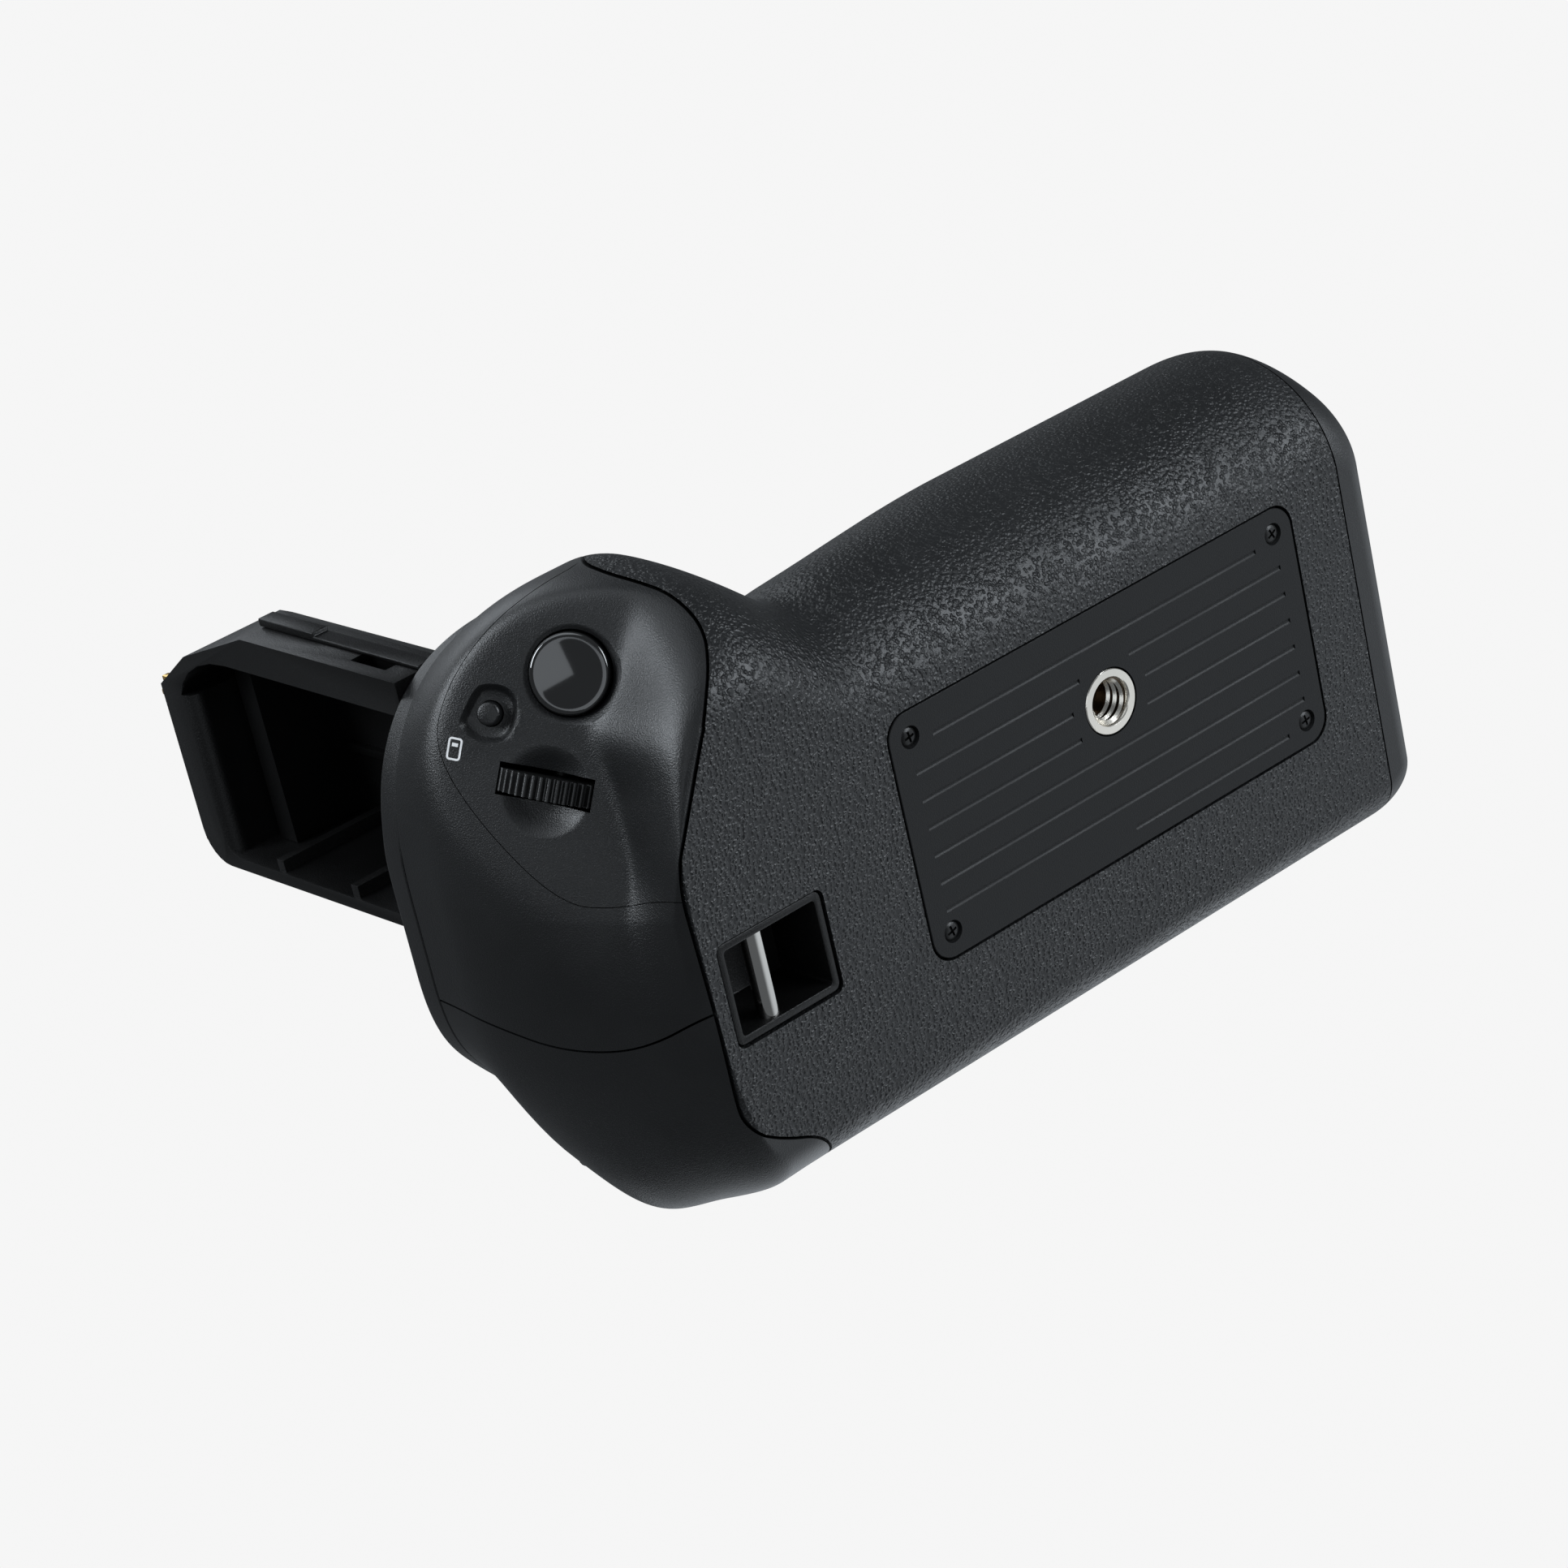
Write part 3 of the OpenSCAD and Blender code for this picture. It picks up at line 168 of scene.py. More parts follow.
def join(tree, *pairs):
    for (source, out), (target, into) in pairs:
        tree.links.new(source.outputs[out], target.inputs[into])


def between(tree, source, low, high, to_low=0.0, to_high=1.0):
    ends = {"From Min": low, "From Max": high, "To Min": to_low, "To Max": to_high}
    ramp = add(tree, "ShaderNodeMapRange", ends, interpolation_type="SMOOTHSTEP")
    join(tree, (source, (ramp, "Value")))
    return ramp, "Result"


def calc(tree, what, *values):
    node = add(tree, "ShaderNodeMath", operation=what)
    for k, value in enumerate(values):
        if isinstance(value, tuple):
            join(tree, (value, (node, k)))
        else:
            node.inputs[k].default_value = value
    return node, 0


# %% The pebble grain group
pebbles, source, result = shader_group(
    "pebble_grain", [("Pebbles per metre", 900.0), ("Wander", 0.0006)], ["Height"])
where = (add(pebbles, "ShaderNodeTexCoord"), "Object")
rate = (source, "Pebbles per metre")
drift = add(pebbles, "ShaderNodeTexNoise", {"Detail": 1.0})
shift = add(pebbles, "ShaderNodeVectorMath", operation="SCALE")
moved = add(pebbles, "ShaderNodeVectorMath", operation="ADD")
cells = add(pebbles, "ShaderNodeTexVoronoi", feature="F1")
lumps = add(pebbles, "ShaderNodeTexNoise", {"Detail": 2.0})
join(pebbles,
     (where, (drift, "Vector")), (rate, (drift, "Scale")),
     ((drift, "Color"), (shift, 0)), ((source, "Wander"), (shift, "Scale")),
     (where, (moved, 0)), ((shift, 0), (moved, 1)),
     ((moved, 0), (cells, "Vector")), (rate, (cells, "Scale")),
     (where, (lumps, "Vector")), (calc(pebbles, "MULTIPLY", rate, 0.6), (lumps, "Scale")))
crests = between(pebbles, (cells, "Distance"), 0.1, 0.75, to_low=1.0, to_high=0.0)
swells = between(pebbles, (lumps, 0), 0.3, 0.7, to_low=0.55)
join(pebbles, (calc(pebbles, "MULTIPLY", crests, swells), (result, "Height")))

# %% The handling group
handled, source, result = shader_group(
    "handling", [("Patches per metre", 60.0), ("Specks per metre", 5000.0)], ["Patch", "Speck"])
where = (add(handled, "ShaderNodeTexCoord"), "Object")
for label, rate, low, high in (("Patch", "Patches per metre", 0.3, 0.7),
                               ("Speck", "Specks per metre", 0.25, 0.75)):
    cloud = add(handled, "ShaderNodeTexNoise", {"Detail": 3.0})
    join(handled, (where, (cloud, "Vector")), ((source, rate), (cloud, "Scale")),
         (between(handled, (cloud, 0), low, high), (result, label)))


# %% [markdown]
# One function builds each finish from those two groups. The Principled shader stays in the
# material: numbers that are even all over go straight on its sockets, and only colour,
# roughness and bump are painted. The bump is a height in metres, so its scale is real.

# %% One finish
def finish(name, dark, light, rough, grain=0.0, pebble=900.0, speck=0.0, **plain):
    paint = bpy.data.materials.new(name)
    paint.use_nodes = True
    tree = paint.node_tree
    shader = tree.nodes["Principled BSDF"]
    for label, value in plain.items():
        shader.inputs[label.replace("_", " ")].default_value = value
    wear = add(tree, "ShaderNodeGroup", node_tree=handled)
    tone = add(tree, "ShaderNodeMix", {"A": (*dark, 1), "B": (*light, 1)}, data_type="RGBA")
    join(tree, ((wear, "Patch"), (tone, "Factor")), ((tone, "Result"), (shader, "Base Color")),
         (between(tree, (wear, "Patch"), 0, 1, *rough), (shader, "Roughness")))
    heights = []
    if grain:
        pebbled = add(tree, "ShaderNodeGroup", {"Pebbles per metre": pebble}, node_tree=pebbles)
        heights.append(calc(tree, "MULTIPLY", (pebbled, "Height"), grain))
    if speck:
        heights.append(calc(tree, "MULTIPLY", (wear, "Speck"), speck))
    if heights:
        height = heights[0] if len(heights) == 1 else calc(tree, "ADD", *heights)
        relief = add(tree, "ShaderNodeBump", {"Distance": MM})
        join(tree, (height, (relief, "Height")), ((relief, "Normal"), (shader, "Normal")))
    return paint


# %% All finishes: darkest and lightest colour, range of roughness, and what is even all over
TINT = (0.0, 0.05, 0.12)


def grey(level, blue=1.0):
    return tuple(level * (1 + blue * t) for t in TINT)


LOOKS = {
    "grained_shell": (grey(0.007), grey(0.009), (0.36, 0.44),
                      {"grain": 0.17, "pebble": 1650.0, "speck": 0.01, "Specular_IOR_Level": 0.37}),
    "satin_cover": (grey(0.0045), grey(0.006), (0.33, 0.40), {"speck": 0.02}),
    # Painted shade: the pillar's finish is darker than the other blacks, so its hollow reads as deep shadow;
    # the strap frame wears it too.
    "pillar_plastic": (grey(0.002, 0), grey(0.003, 0), (0.36, 0.44),
                       {"speck": 0.02, "Specular_IOR_Level": 0.25}),
    "inner_plastic": (grey(0.012, 0), grey(0.017, 0), (0.45, 0.55), {"speck": 0.03}),
    "deck_rubber": (grey(0.010, 0), grey(0.014, 0), (0.62, 0.72), {"speck": 0.05}),
    "plate_enamel": (grey(0.004), grey(0.005), (0.42, 0.50), {"speck": 0.012, "Specular_IOR_Level": 0.24}),
    "black_screw": (grey(0.012, 0), grey(0.03, 0), (0.30, 0.42), {"speck": 0.01, "Metallic": 0.6}),
    "steel": ((0.70, 0.67, 0.61), (0.80, 0.76, 0.69), (0.18, 0.30), {"speck": 0.006, "Metallic": 1.0}),
    "bronze": ((0.45, 0.29, 0.12), (0.55, 0.37, 0.17), (0.28, 0.42), {"speck": 0.01, "Metallic": 1.0}),
    "gold": ((0.78, 0.50, 0.13), (0.88, 0.60, 0.20), (0.18, 0.30), {"speck": 0.008, "Metallic": 1.0}),
    "shutter_gloss": (grey(0.003, 0), grey(0.004, 0), (0.05, 0.09), {"IOR": 1.9}),
    "dial_plastic": (grey(0.006, 0), grey(0.009, 0), (0.30, 0.40), {"speck": 0.01}),
    "board": ((0.010, 0.060, 0.026), (0.016, 0.085, 0.036), (0.30, 0.42), {"speck": 0.02}),
    "switch": ((0.30, 0.30, 0.29), (0.38, 0.38, 0.36), (0.30, 0.42), {"speck": 0.02}),
    "polished_bar": ((0.52, 0.51, 0.49), (0.60, 0.59, 0.56), (0.06, 0.10), {"Metallic": 1.0}),
    # Painted shade: a dim warm metal for the liner that darkens the socket's bore between the ridges, with a
    # brownish painted reflection.
    "socket_shade": ((0.12, 0.09, 0.065), (0.18, 0.14, 0.10), (0.22, 0.34), {"Metallic": 1.0}),
    "mark_white": ((0.80, 0.80, 0.80), (0.86, 0.86, 0.86), (0.40, 0.50), {}),
}
finishes = {name: finish(name, *look, **even) for name, (*look, even) in LOOKS.items()}
# The dial's axle shows in the dial's slot, so it wears the dark screw finish instead of its own: painted shade
# in the slot.
for node, solid in frame["nodes"].items():
    solid.data.materials.clear()
    solid.data.materials.append(finishes["black_screw" if node == "dial_axle" else slot_of[node]])
print("finishes", len(finishes))

# %% [markdown]
# ## The law of the body
# The handle is a stack of plan outlines. Each side has its own rule for where it stands at a
# height, and the corners are quarter superellipses between the sides. A swell for the thumb is
# pushed out, a dip is pressed in, and last the slanted finger rest is pressed flat with a soft
# limit. The same rule drew the solids, so the fine skin lies on them.

# %% Sizes of the body, in millimetres
LEFT, RIGHT, REAR, FRONT, HOOK, BODY_H = 54.5, 86.5, 41.0, 30.0, 40.5, 41.4
SKIN, FLOOR, SEAM = 2.0, 5.4, 0.25
FOOT = {"front": 14, "hook": 24, "rear": 33.5, "right": 73, "left": LEFT - 4.5}
RISE = {"front": 18, "hook": 25, "rear": 11, "right": 35, "left": 6}
DECK = {"front": 19.4, "hook": 34, "rear": 36.5}
REAR_TURN, SWEEP_POWER, RIGHT_POWER = 31, 1.8, 1.7
FRONT_RIGHT, FRONT_LEFT, REAR_LEFT, REAR_RIGHT = (59.5, 2), (-43, 12), (-46, -32), (66.5, -9)
FRONT_POWER, REAR_POWER = 2.5, 2.2
STEPS_ROUND, FINE_TO = (22, 14, 6, 10, 8, 6, 14), 32
HOOK_FROM, HOOK_TO, VALLEY_DIP, VALLEY_X, VALLEY_WIDE = 37, 56, 1.4, 39, 5
BOW, BOW_FROM, BOW_Z, BOW_RISE = 2.4, -2, 12, 18
SWELL, SWELL_AT, SWELL_REACH = 6.3, (77, 20), (9, 11)
DIP, DIP_AT, DIP_REACH = 3.6, (81.5, BODY_H), (9, 6)
SWELL_FROM, SWELL_SPAN = 12, 20

# %% Sizes of the finger rest: its slope, its reach and the lip below it
YAW, PITCH = math.radians(29), math.radians(36)
X, Y, Z = np.eye(3)
FACING = math.cos(YAW) * X + math.sin(YAW) * Y
FACET = np.array([68.5, 30.7, 20.0])
FACET_N = math.cos(PITCH) * FACING - math.sin(PITCH) * Z
FACET_U = math.sin(YAW) * X - math.cos(YAW) * Y
FACET_V = math.sin(PITCH) * FACING + math.cos(PITCH) * Z
REST_U, REST_HALF, REST_HIGH, REST_DRAW, REST_FADE, PRESS_SOFT = 8, 23, 45, 2.5, 0.32, 1.6
LIP_CREASE, LIP_START, LIP_U, LIP_SOFT = -19.5, 6.2, 6, 0.1
NOTCH, NOTCH_WIDE, FALL, FALL_WIDE = 2, 4.5, 6.5, 20


# %% Where the sides stand
QUARTER = math.pi / 2


def mix(a, b, t):
    return a + (b - a) * t


def ease(t):
    c = np.clip(t, 0, 1)
    return c * c * (3 - 2 * c)


def roll(t):
    return np.sqrt(1 - (1 - np.clip(t, 0, 1)) ** 2)


def bell(t):
    return np.exp(-t * t)


def above(t, soft):
    return (t + np.sqrt(t ** 2 + soft ** 2)) / 2


def swept(z, side, crown):
    rise = RISE[side]
    if z < rise:
        return mix(FOOT[side], crown, roll(z / rise))
    return mix(crown, DECK[side], ((z - rise) / (BODY_H - rise)) ** SWEEP_POWER)


def side_right(z):
    return mix(FOOT["right"], RIGHT, 1 - (1 - np.clip(z / RISE["right"], 0, 1)) ** RIGHT_POWER)


def side_left(z):
    return -mix(FOOT["left"], LEFT, roll(z / RISE["left"]))


def side_rear(z):
    if z < REAR_TURN:
        return -mix(FOOT["rear"], REAR, roll(z / RISE["rear"]))
    return -mix(REAR, DECK["rear"], ease((z - REAR_TURN) / (BODY_H - REAR_TURN)))


def to_hook(x, start):
    return ease((x - start) / (HOOK_FROM - start))


def front_at(x, z):
    bow = BOW * ease((z - BOW_Z) / BOW_RISE) * to_hook(x, BOW_FROM)
    hooked = ease((x - HOOK_FROM) / (HOOK_TO - HOOK_FROM))
    plain = mix(swept(z, "front", FRONT) - bow, swept(z, "hook", HOOK), hooked)
    return plain - VALLEY_DIP * bell((x - VALLEY_X) / VALLEY_WIDE) * roll(z / RISE["front"])


# %% One outline of the stack
def corner(middle, edge, power, t):
    ways = np.abs(np.cos(t * QUARTER)), np.abs(np.sin(t * QUARTER))
    return np.stack([m + (e - m) * way ** (2 / power) for m, e, way in zip(middle, edge, ways)], 1)


def plan(z, inset, fine):
    right, left, rear = side_right(z) - inset, side_left(z) + inset, side_rear(z) + inset
    hook, front = swept(z, "hook", HOOK) - inset, swept(z, "front", FRONT) - inset
    part = [np.arange(round(count * fine)) / round(count * fine) for count in STEPS_ROUND]
    near = mix(FRONT_RIGHT[0], FINE_TO, part[1])
    far = mix(FINE_TO, FRONT_LEFT[0], part[2])
    back = mix(REAR_LEFT[0], REAR_RIGHT[0], part[5])
    return np.concatenate([
        corner(FRONT_RIGHT, (right, hook), FRONT_POWER, part[0]),
        np.stack([near, front_at(near, z) - inset], 1),
        np.stack([far, front_at(far, z) - inset], 1),
        corner(FRONT_LEFT, (left, front), FRONT_POWER, 1 - part[3]),
        corner(REAR_LEFT, (left, rear), REAR_POWER, part[4]),
        np.stack([back, np.full_like(back, rear)], 1),
        corner(REAR_RIGHT, (right, rear), REAR_POWER, 1 - part[6])])


# %% The swell, the dip and the pressed finger rest
def mound(x, z, middle, reach):
    return bell((x - middle[0]) / reach[0]) * bell((z - middle[1]) / reach[1])


def swollen(p, z):
    swell = SWELL * mound(p[:, 0], z, SWELL_AT, SWELL_REACH) - DIP * mound(p[:, 0], z, DIP_AT, DIP_REACH)
    p[:, 1] -= swell * ease((-p[:, 1] - SWELL_FROM) / SWELL_SPAN)
    return p


def shaped(flat, z, inset):
    p = swollen(np.column_stack([flat, np.full(len(flat), float(z))]), z)
    q = p - FACET + inset * FACET_N
    depth, u, v = q @ FACET_N, q @ FACET_U, q @ FACET_V
    across = np.abs(u - REST_U) / (REST_HALF + REST_DRAW * inset)
    reach = (across ** 3 + (np.maximum(v, 0) / REST_HIGH) ** 3) ** (1 / 3)
    start = LIP_START - NOTCH * bell((u - LIP_U) / NOTCH_WIDE) + FALL * ease((u - LIP_U) / FALL_WIDE)
    rise = (-v - start - inset / 2) / (-LIP_CREASE - start)
    lip = np.clip(above(rise, LIP_SOFT), 0, 1)
    window = (1 - ease((reach - 1) / REST_FADE)) * (1 - lip)
    return p - np.outer(above(depth, PRESS_SOFT) * window, FACET_N)


# %% The loft
def loft(name, rows, closing):
    n = len(rows[0])
    points = [closing[0], *np.concatenate(rows), closing[1]]
    faces = [(0, 1 + (j + 1) % n, 1 + j) for j in range(n)]
    for i in range(len(rows) - 1):
        low, high = 1 + i * n, 1 + (i + 1) * n
        faces += [(low + j, low + (j + 1) % n, high + (j + 1) % n, high + j) for j in range(n)]
    top = 1 + (len(rows) - 1) * n
    faces += [(len(points) - 1, top + j, top + (j + 1) % n) for j in range(n)]
    return new_piece(name, points, faces)


FOOT_MIDDLE, DECK_MIDDLE, OVERSHOOT = np.array([58.0, 10.0]), (20.0, -5.0), 3.0
FOOT_RINGS = (0.1, 0.3, 0.5, 0.65, 0.75, 0.82, 0.88, 0.92, 0.95, 0.97, 0.985)


def body_solid(name, inset, low, fine, count):
    edge = plan(low, inset, fine)
    rows = [shaped(FOOT_MIDDLE + (edge - FOOT_MIDDLE) * k, low, inset) for k in FOOT_RINGS]
    levels = [low + (BODY_H - low) * (i / count) ** 2 for i in range(count + 1)]
    rows += [shaped(plan(z, inset, fine), z, inset) for z in levels]
    rows.append(rows[-1] + np.array([0, 0, OVERSHOOT]))
    return loft(name, rows, ((*FOOT_MIDDLE, low), (*DECK_MIDDLE, rows[-1][0][2])))


outer = body_solid("outer", 0, 0, fine=5, count=84)
inner = body_solid("inner", SKIN, FLOOR, fine=1.5, count=20)
print("outer loft", len(outer.data.polygons), "faces")

# %% [markdown]
# ## Parting the skin
# The real shell is moulded in pieces that meet at fine dark seams. One thick skin is cut with
# prisms for the seam lines, so every piece keeps the same flowing surface. The prisms are drawn
# in plan, from the end or on the slope of the finger rest, from a few corner points whose
# corners are cut again and again until they flow.

# %% Prisms as cutting tools, each on an origin, two axes of its outline and one of its length
UP, ALONG_X, ALONG_Y = (np.zeros(3), X, Y, Z), (np.zeros(3), Y, Z, X), (np.zeros(3), X, Z, Y)
ON_FACET = (FACET, FACET_U, FACET_V, FACET_N)


def spot_on(axes, x, y, h=0.0):
    origin, a, b, up = axes
    return origin + x * a + y * b + h * up


def prism(outline, low, high, axes=UP):
    n = len(outline)
    points = [spot_on(axes, x, y, h) for h in (low, high) for x, y in outline]
    faces = [tuple(range(n)), tuple(range(n, 2 * n))]
    faces += [(j, (j + 1) % n, n + (j + 1) % n, n + j) for j in range(n)]
    return outward(new_piece("tool", points, faces))


def ring(middle, radius, count=64):
    turn = [2 * math.pi * k / count for k in range(count)]
    return [(middle[0] + radius * math.cos(t), middle[1] + radius * math.sin(t)) for t in turn]


def arc(middle, r, count, start=0.0, turn=QUARTER):
    angles = np.linspace(start, start + turn, count)
    return [(middle[0] + r * math.cos(t), middle[1] + r * math.sin(t)) for t in angles]


def frame_of(low, high):
    return [(low[0], low[1]), (high[0], low[1]), (high[0], high[1]), (low[0], high[1])]


def rounded(low, high, r, count=8):
    left, foot, right, top = low[0] + r, low[1] + r, high[0] - r, high[1] - r
    corners = ((right, top), (left, top), (left, foot), (right, foot))
    return [p for k, spot in enumerate(corners) for p in arc(spot, r, count + 1, k * QUARTER)]


def flowing(points, rounds=4):
    for _ in range(rounds):
        pairs = [(np.array(a), np.array(b)) for a, b in zip(points, points[1:])]
        cut = [tuple(mix(a, b, t)) for a, b in pairs for t in (0.25, 0.75)]
        points = [points[0], *cut, points[-1]]
    return points


def shifted(line, step):
    p = np.array(line, float)
    along = np.gradient(p, axis=0)
    along /= np.linalg.norm(along, axis=1)[:, None]
    return [tuple(q) for q in p + step * np.stack([-along[:, 1], along[:, 0]], 1)]


# %% The seam lines
COVER_SEAM = flowing([(58.5, -60), (58.5, -41), (61, -34.5), (67.5, -31.8), (72.2, -28.5), (73.0, -22),
                      (73.3, -5), (73.6, 11), (67, 24.3), (58.5, 29.5), (55, 35), (54.5, 60)])
PANEL_EDGE = flowing([(-34, -2), (-14, 2.5), (-10, 6.5), (-2.6, 12.5), (6, 16), (13, 15.8),
                      (21, 8), (28.7, -3.8), (27.8, -11.1), (24.8, -18), (22, -40)])
NOSE_EDGE = flowing([(-90, 14), (-24, 11), (-16.5, 8.2), (-13.4, 4), (-12.7, -2), (-12.5, -6), (-11.8, -11),
                     (-8.8, -16), (-4.5, -18.2), (0.5, -19.2), (5, -19.6), (6, -60)])
REAR_SEAM = flowing([(-9.8, -2), (-11.5, 2.2), (-14.4, 7.5), (-15.9, 13), (-15.8, 21), (-13.6, 29.5),
                     (-12.2, 38), (-11.9, 50)])
CAP_X, CAP_FRONT, CAP_TOP, CAP_R, PLUG_X, PLUG_FRONT = -47.8, 60.0, 33.0, 4.0, -45.5, 22.0
FAR = 300


def cover_tool(grow):
    return prism(shifted(COVER_SEAM, grow) + [(FAR, 60), (FAR, -60)], -1, BODY_H + 1)


def rest_tool(grow):
    return prism(frame_of((-14 - grow, LIP_CREASE - grow), (30 + grow, 40)), -3.4 - grow, 30, ON_FACET)


def panel_tool(grow):
    return prism(shifted(PANEL_EDGE, grow) + [(-34, -40)], -8, 24, ON_FACET)


def cap_tool(grow):
    bend = arc((CAP_FRONT - CAP_R, CAP_TOP - CAP_R), CAP_R + grow, 13)
    line = [(-60, -5), (CAP_FRONT + grow, -5), *bend, (-60, CAP_TOP + grow)]
    return prism(line, CAP_X - 40, CAP_X + grow, ALONG_X)


def nose_tool(grow):
    return prism(shifted(NOSE_EDGE, grow) + [(-90, -60)], -40, 30, ON_FACET)


def zone_tool(grow):
    zone = carve(cover_tool(grow), rest_tool(grow), how="UNION")
    return carve(zone, nose_tool(-grow))


def rear_tool(side, grow):
    line = shifted(REAR_SEAM, side * grow) + [(side * FAR, 50), (side * FAR, -2)]
    return prism(line, 0, FAR, ALONG_X)


# %% Cut the skin into its pieces
ZONE_GAP, REAR_GAP, PANEL_GAP = 1.6 * SEAM, 0.6 * SEAM, 0.4 * SEAM
cap = copy_of(outer, "magazine_cap_skin")
skin = carve(outer, inner, prism(frame_of((-FAR, -FAR), (FAR, FAR)), BODY_H, BODY_H + 9))
bottom = carve(copy_of(skin, "shell_skin"), zone_tool(ZONE_GAP), cap_tool(SEAM))
panel = carve(copy_of(skin, "control_panel_skin"), zone_tool(0), panel_tool(0), how="INTERSECT")
end = carve(copy_of(skin, "end_cover_skin"), cover_tool(0), how="INTERSECT")
rear = carve(copy_of(end, "rear_cover_skin"), rear_tool(1, REAR_GAP))
carve(end, rear_tool(-1, REAR_GAP), panel_tool(PANEL_GAP), nose_tool(0))
discard(skin)
print("skin pieces", [len(p.data.polygons) for p in (bottom, panel, end, rear)])

# %% [markdown]
# ## Windows in the shell
# The underside has a sunk bed for the grooved plate, a deep window for the strap and a slot at
# the rear for the thumb wheel. These are plain rounded prisms, taken out of the grained skin.

# %% Cut the shell's windows
PLATE_L, PLATE_W, PLATE_T, PLATE_MID, PLATE_R, BED_GAP = 75.0, 35.0, 2.0, -3.95, 3.5, 0.32
INSERT_R, SOCKET_R = 4.5, 3.175
STRAP_LOW, STRAP_L, STRAP_W, STRAP_FLANGE, STRAP_DEPTH = (54.4, -15.6), 15.2, 12.0, 1.1, 10.5
GEAR_Z, GEAR_T, GEAR_GAP, GEAR_HALF = 33.8, 4.5, 0.7, 13.5


def plate_line(grow, r, count=8):
    x, y = PLATE_L / 2 + grow, PLATE_W / 2 + grow
    return rounded((-x, PLATE_MID - y), (x, PLATE_MID + y), r, count)


def strap_line(grow, r, more=0.0):
    return rounded((STRAP_LOW[0] - grow - more, STRAP_LOW[1] - grow - more),
                   (STRAP_LOW[0] + STRAP_L + grow, STRAP_LOW[1] + STRAP_W + grow), r)


wheel_slot = rounded((-GEAR_HALF, GEAR_Z - GEAR_GAP), (GEAR_HALF, GEAR_Z + GEAR_T + GEAR_GAP), 0.6)
carve(bottom, prism(plate_line(BED_GAP, PLATE_R + 0.1), -1, PLATE_T + 0.05),
      prism(ring((0, 0), INSERT_R + 0.1), -1, FLOOR + 2),
      prism(strap_line(STRAP_FLANGE + 0.15, 1.3, 0.3), -1, 20),
      prism(wheel_slot, -60, -28, ALONG_Y))
hand_over(smooth(bottom), "grip_body", "grained_shell",
          "bottom_shell", "shell_front", "shell_rear", "shell_bridge")
hand_over(smooth(end), "grip_body", "satin_cover", "end_cover")

# %% [markdown]
# ## Wells of the control panel
# The finger rest carries a shutter button in a chamfered well, a small button in a drop-shaped
# hollow and a dial that peeps out of a slot in a soft scoop. Round wells are turned profiles,
# pairs of radius and height, so each gets its chamfer from the profile and not from a bevel.

# %% Turned tools and the wells
def turned(name, profile, axes, at=(0, 0), count=96):
    points, rows, faces = [], [], []
    for r, h in profile:
        line = ring(at, r, count) if r else [at]
        rows.append(range(len(points), len(points) + len(line)))
        points += [spot_on(axes, x, y, h) for x, y in line]
    for low, high in zip(rows, rows[1:]):
        for j in range(count):
            k = (j + 1) % count
            corners = [low[j % len(low)], low[k % len(low)], high[k % len(high)], high[j % len(high)]]
            faces.append(tuple(dict.fromkeys(corners)))
    return outward(new_piece(name, points, faces))


SHUTTER_AT, FUNCTION_AT, DIAL_AT = (0, 0), (6.9, 9.5), (14.7, 0.7)
SHUTTER_R, FUNCTION_R, DIAL_R, DIAL_W, DIAL_DEPTH = 5.25, 1.55, 9.0, 2.9, 6.8
WELL_R = SHUTTER_R + 0.2
WELL = [(0, -8), (WELL_R, -8), (WELL_R, -0.75), (WELL_R + 0.12, -0.45), (WELL_R + 0.5, -0.22),
        (WELL_R + 0.9, -0.02), (WELL_R + 1.4, 0.3), (WELL_R + 1.4, 8), (0, 8)]
DROP_LINE = flowing([(-0.55, 0.75), (-1, 0.5), (-1.08, -0.5), (-0.55, -1), (0.45, -1), (1, -0.6),
                     (1.05, 0.2), (0.85, 0.75), (0.62, 1.05), (0.2, 1), (-0.55, 0.75)], 3)[:-1]
DROP_STEPS = ((2.7, -1.0), (2.95, -0.85), (3.3, -0.45), (3.7, -0.1), (4.2, 0.15), (4.2, 8))
SCOOP = [(0, -1.75), (1.5, -1.68), (2.8, -1.4), (3.8, -1.0), (4.6, -0.6), (5.3, -0.28), (6.0, -0.02),
         (6.8, 0.2), (6.8, 4), (0, 4)]
SLOT_LOW, SLOT_HIGH, SLOT_V = -2.25, 1.95, 12.6
drop = [[spot_on(ON_FACET, FUNCTION_AT[0] + size * a, FUNCTION_AT[1] + size * b, h) for a, b in DROP_LINE]
        for size, h in DROP_STEPS]
drop_ends = [spot_on(ON_FACET, *FUNCTION_AT, DROP_STEPS[k][1]) for k in (0, -1)]
slot_line = frame_of((DIAL_AT[0] + SLOT_LOW, DIAL_AT[1] - SLOT_V / 2),
                     (DIAL_AT[0] + SLOT_HIGH, DIAL_AT[1] + SLOT_V / 2))
carve(panel, turned("tool", WELL, ON_FACET, SHUTTER_AT),
      outward(loft("tool", drop, drop_ends)),
      prism(ring(FUNCTION_AT, FUNCTION_R + 0.15), -8, 8, ON_FACET),
      turned("tool", SCOOP, ON_FACET, (DIAL_AT[0] + 0.6, DIAL_AT[1])),
      prism(slot_line, -12, 8, ON_FACET))
hand_over(smooth(panel), "grip_body", "satin_cover", "control_panel")

# %% [markdown]
# ## Rear cover
# Three thumb buttons and a slider look out of the rear cover. Its holes follow the solids, a
# little wider than the pieces that move in them.

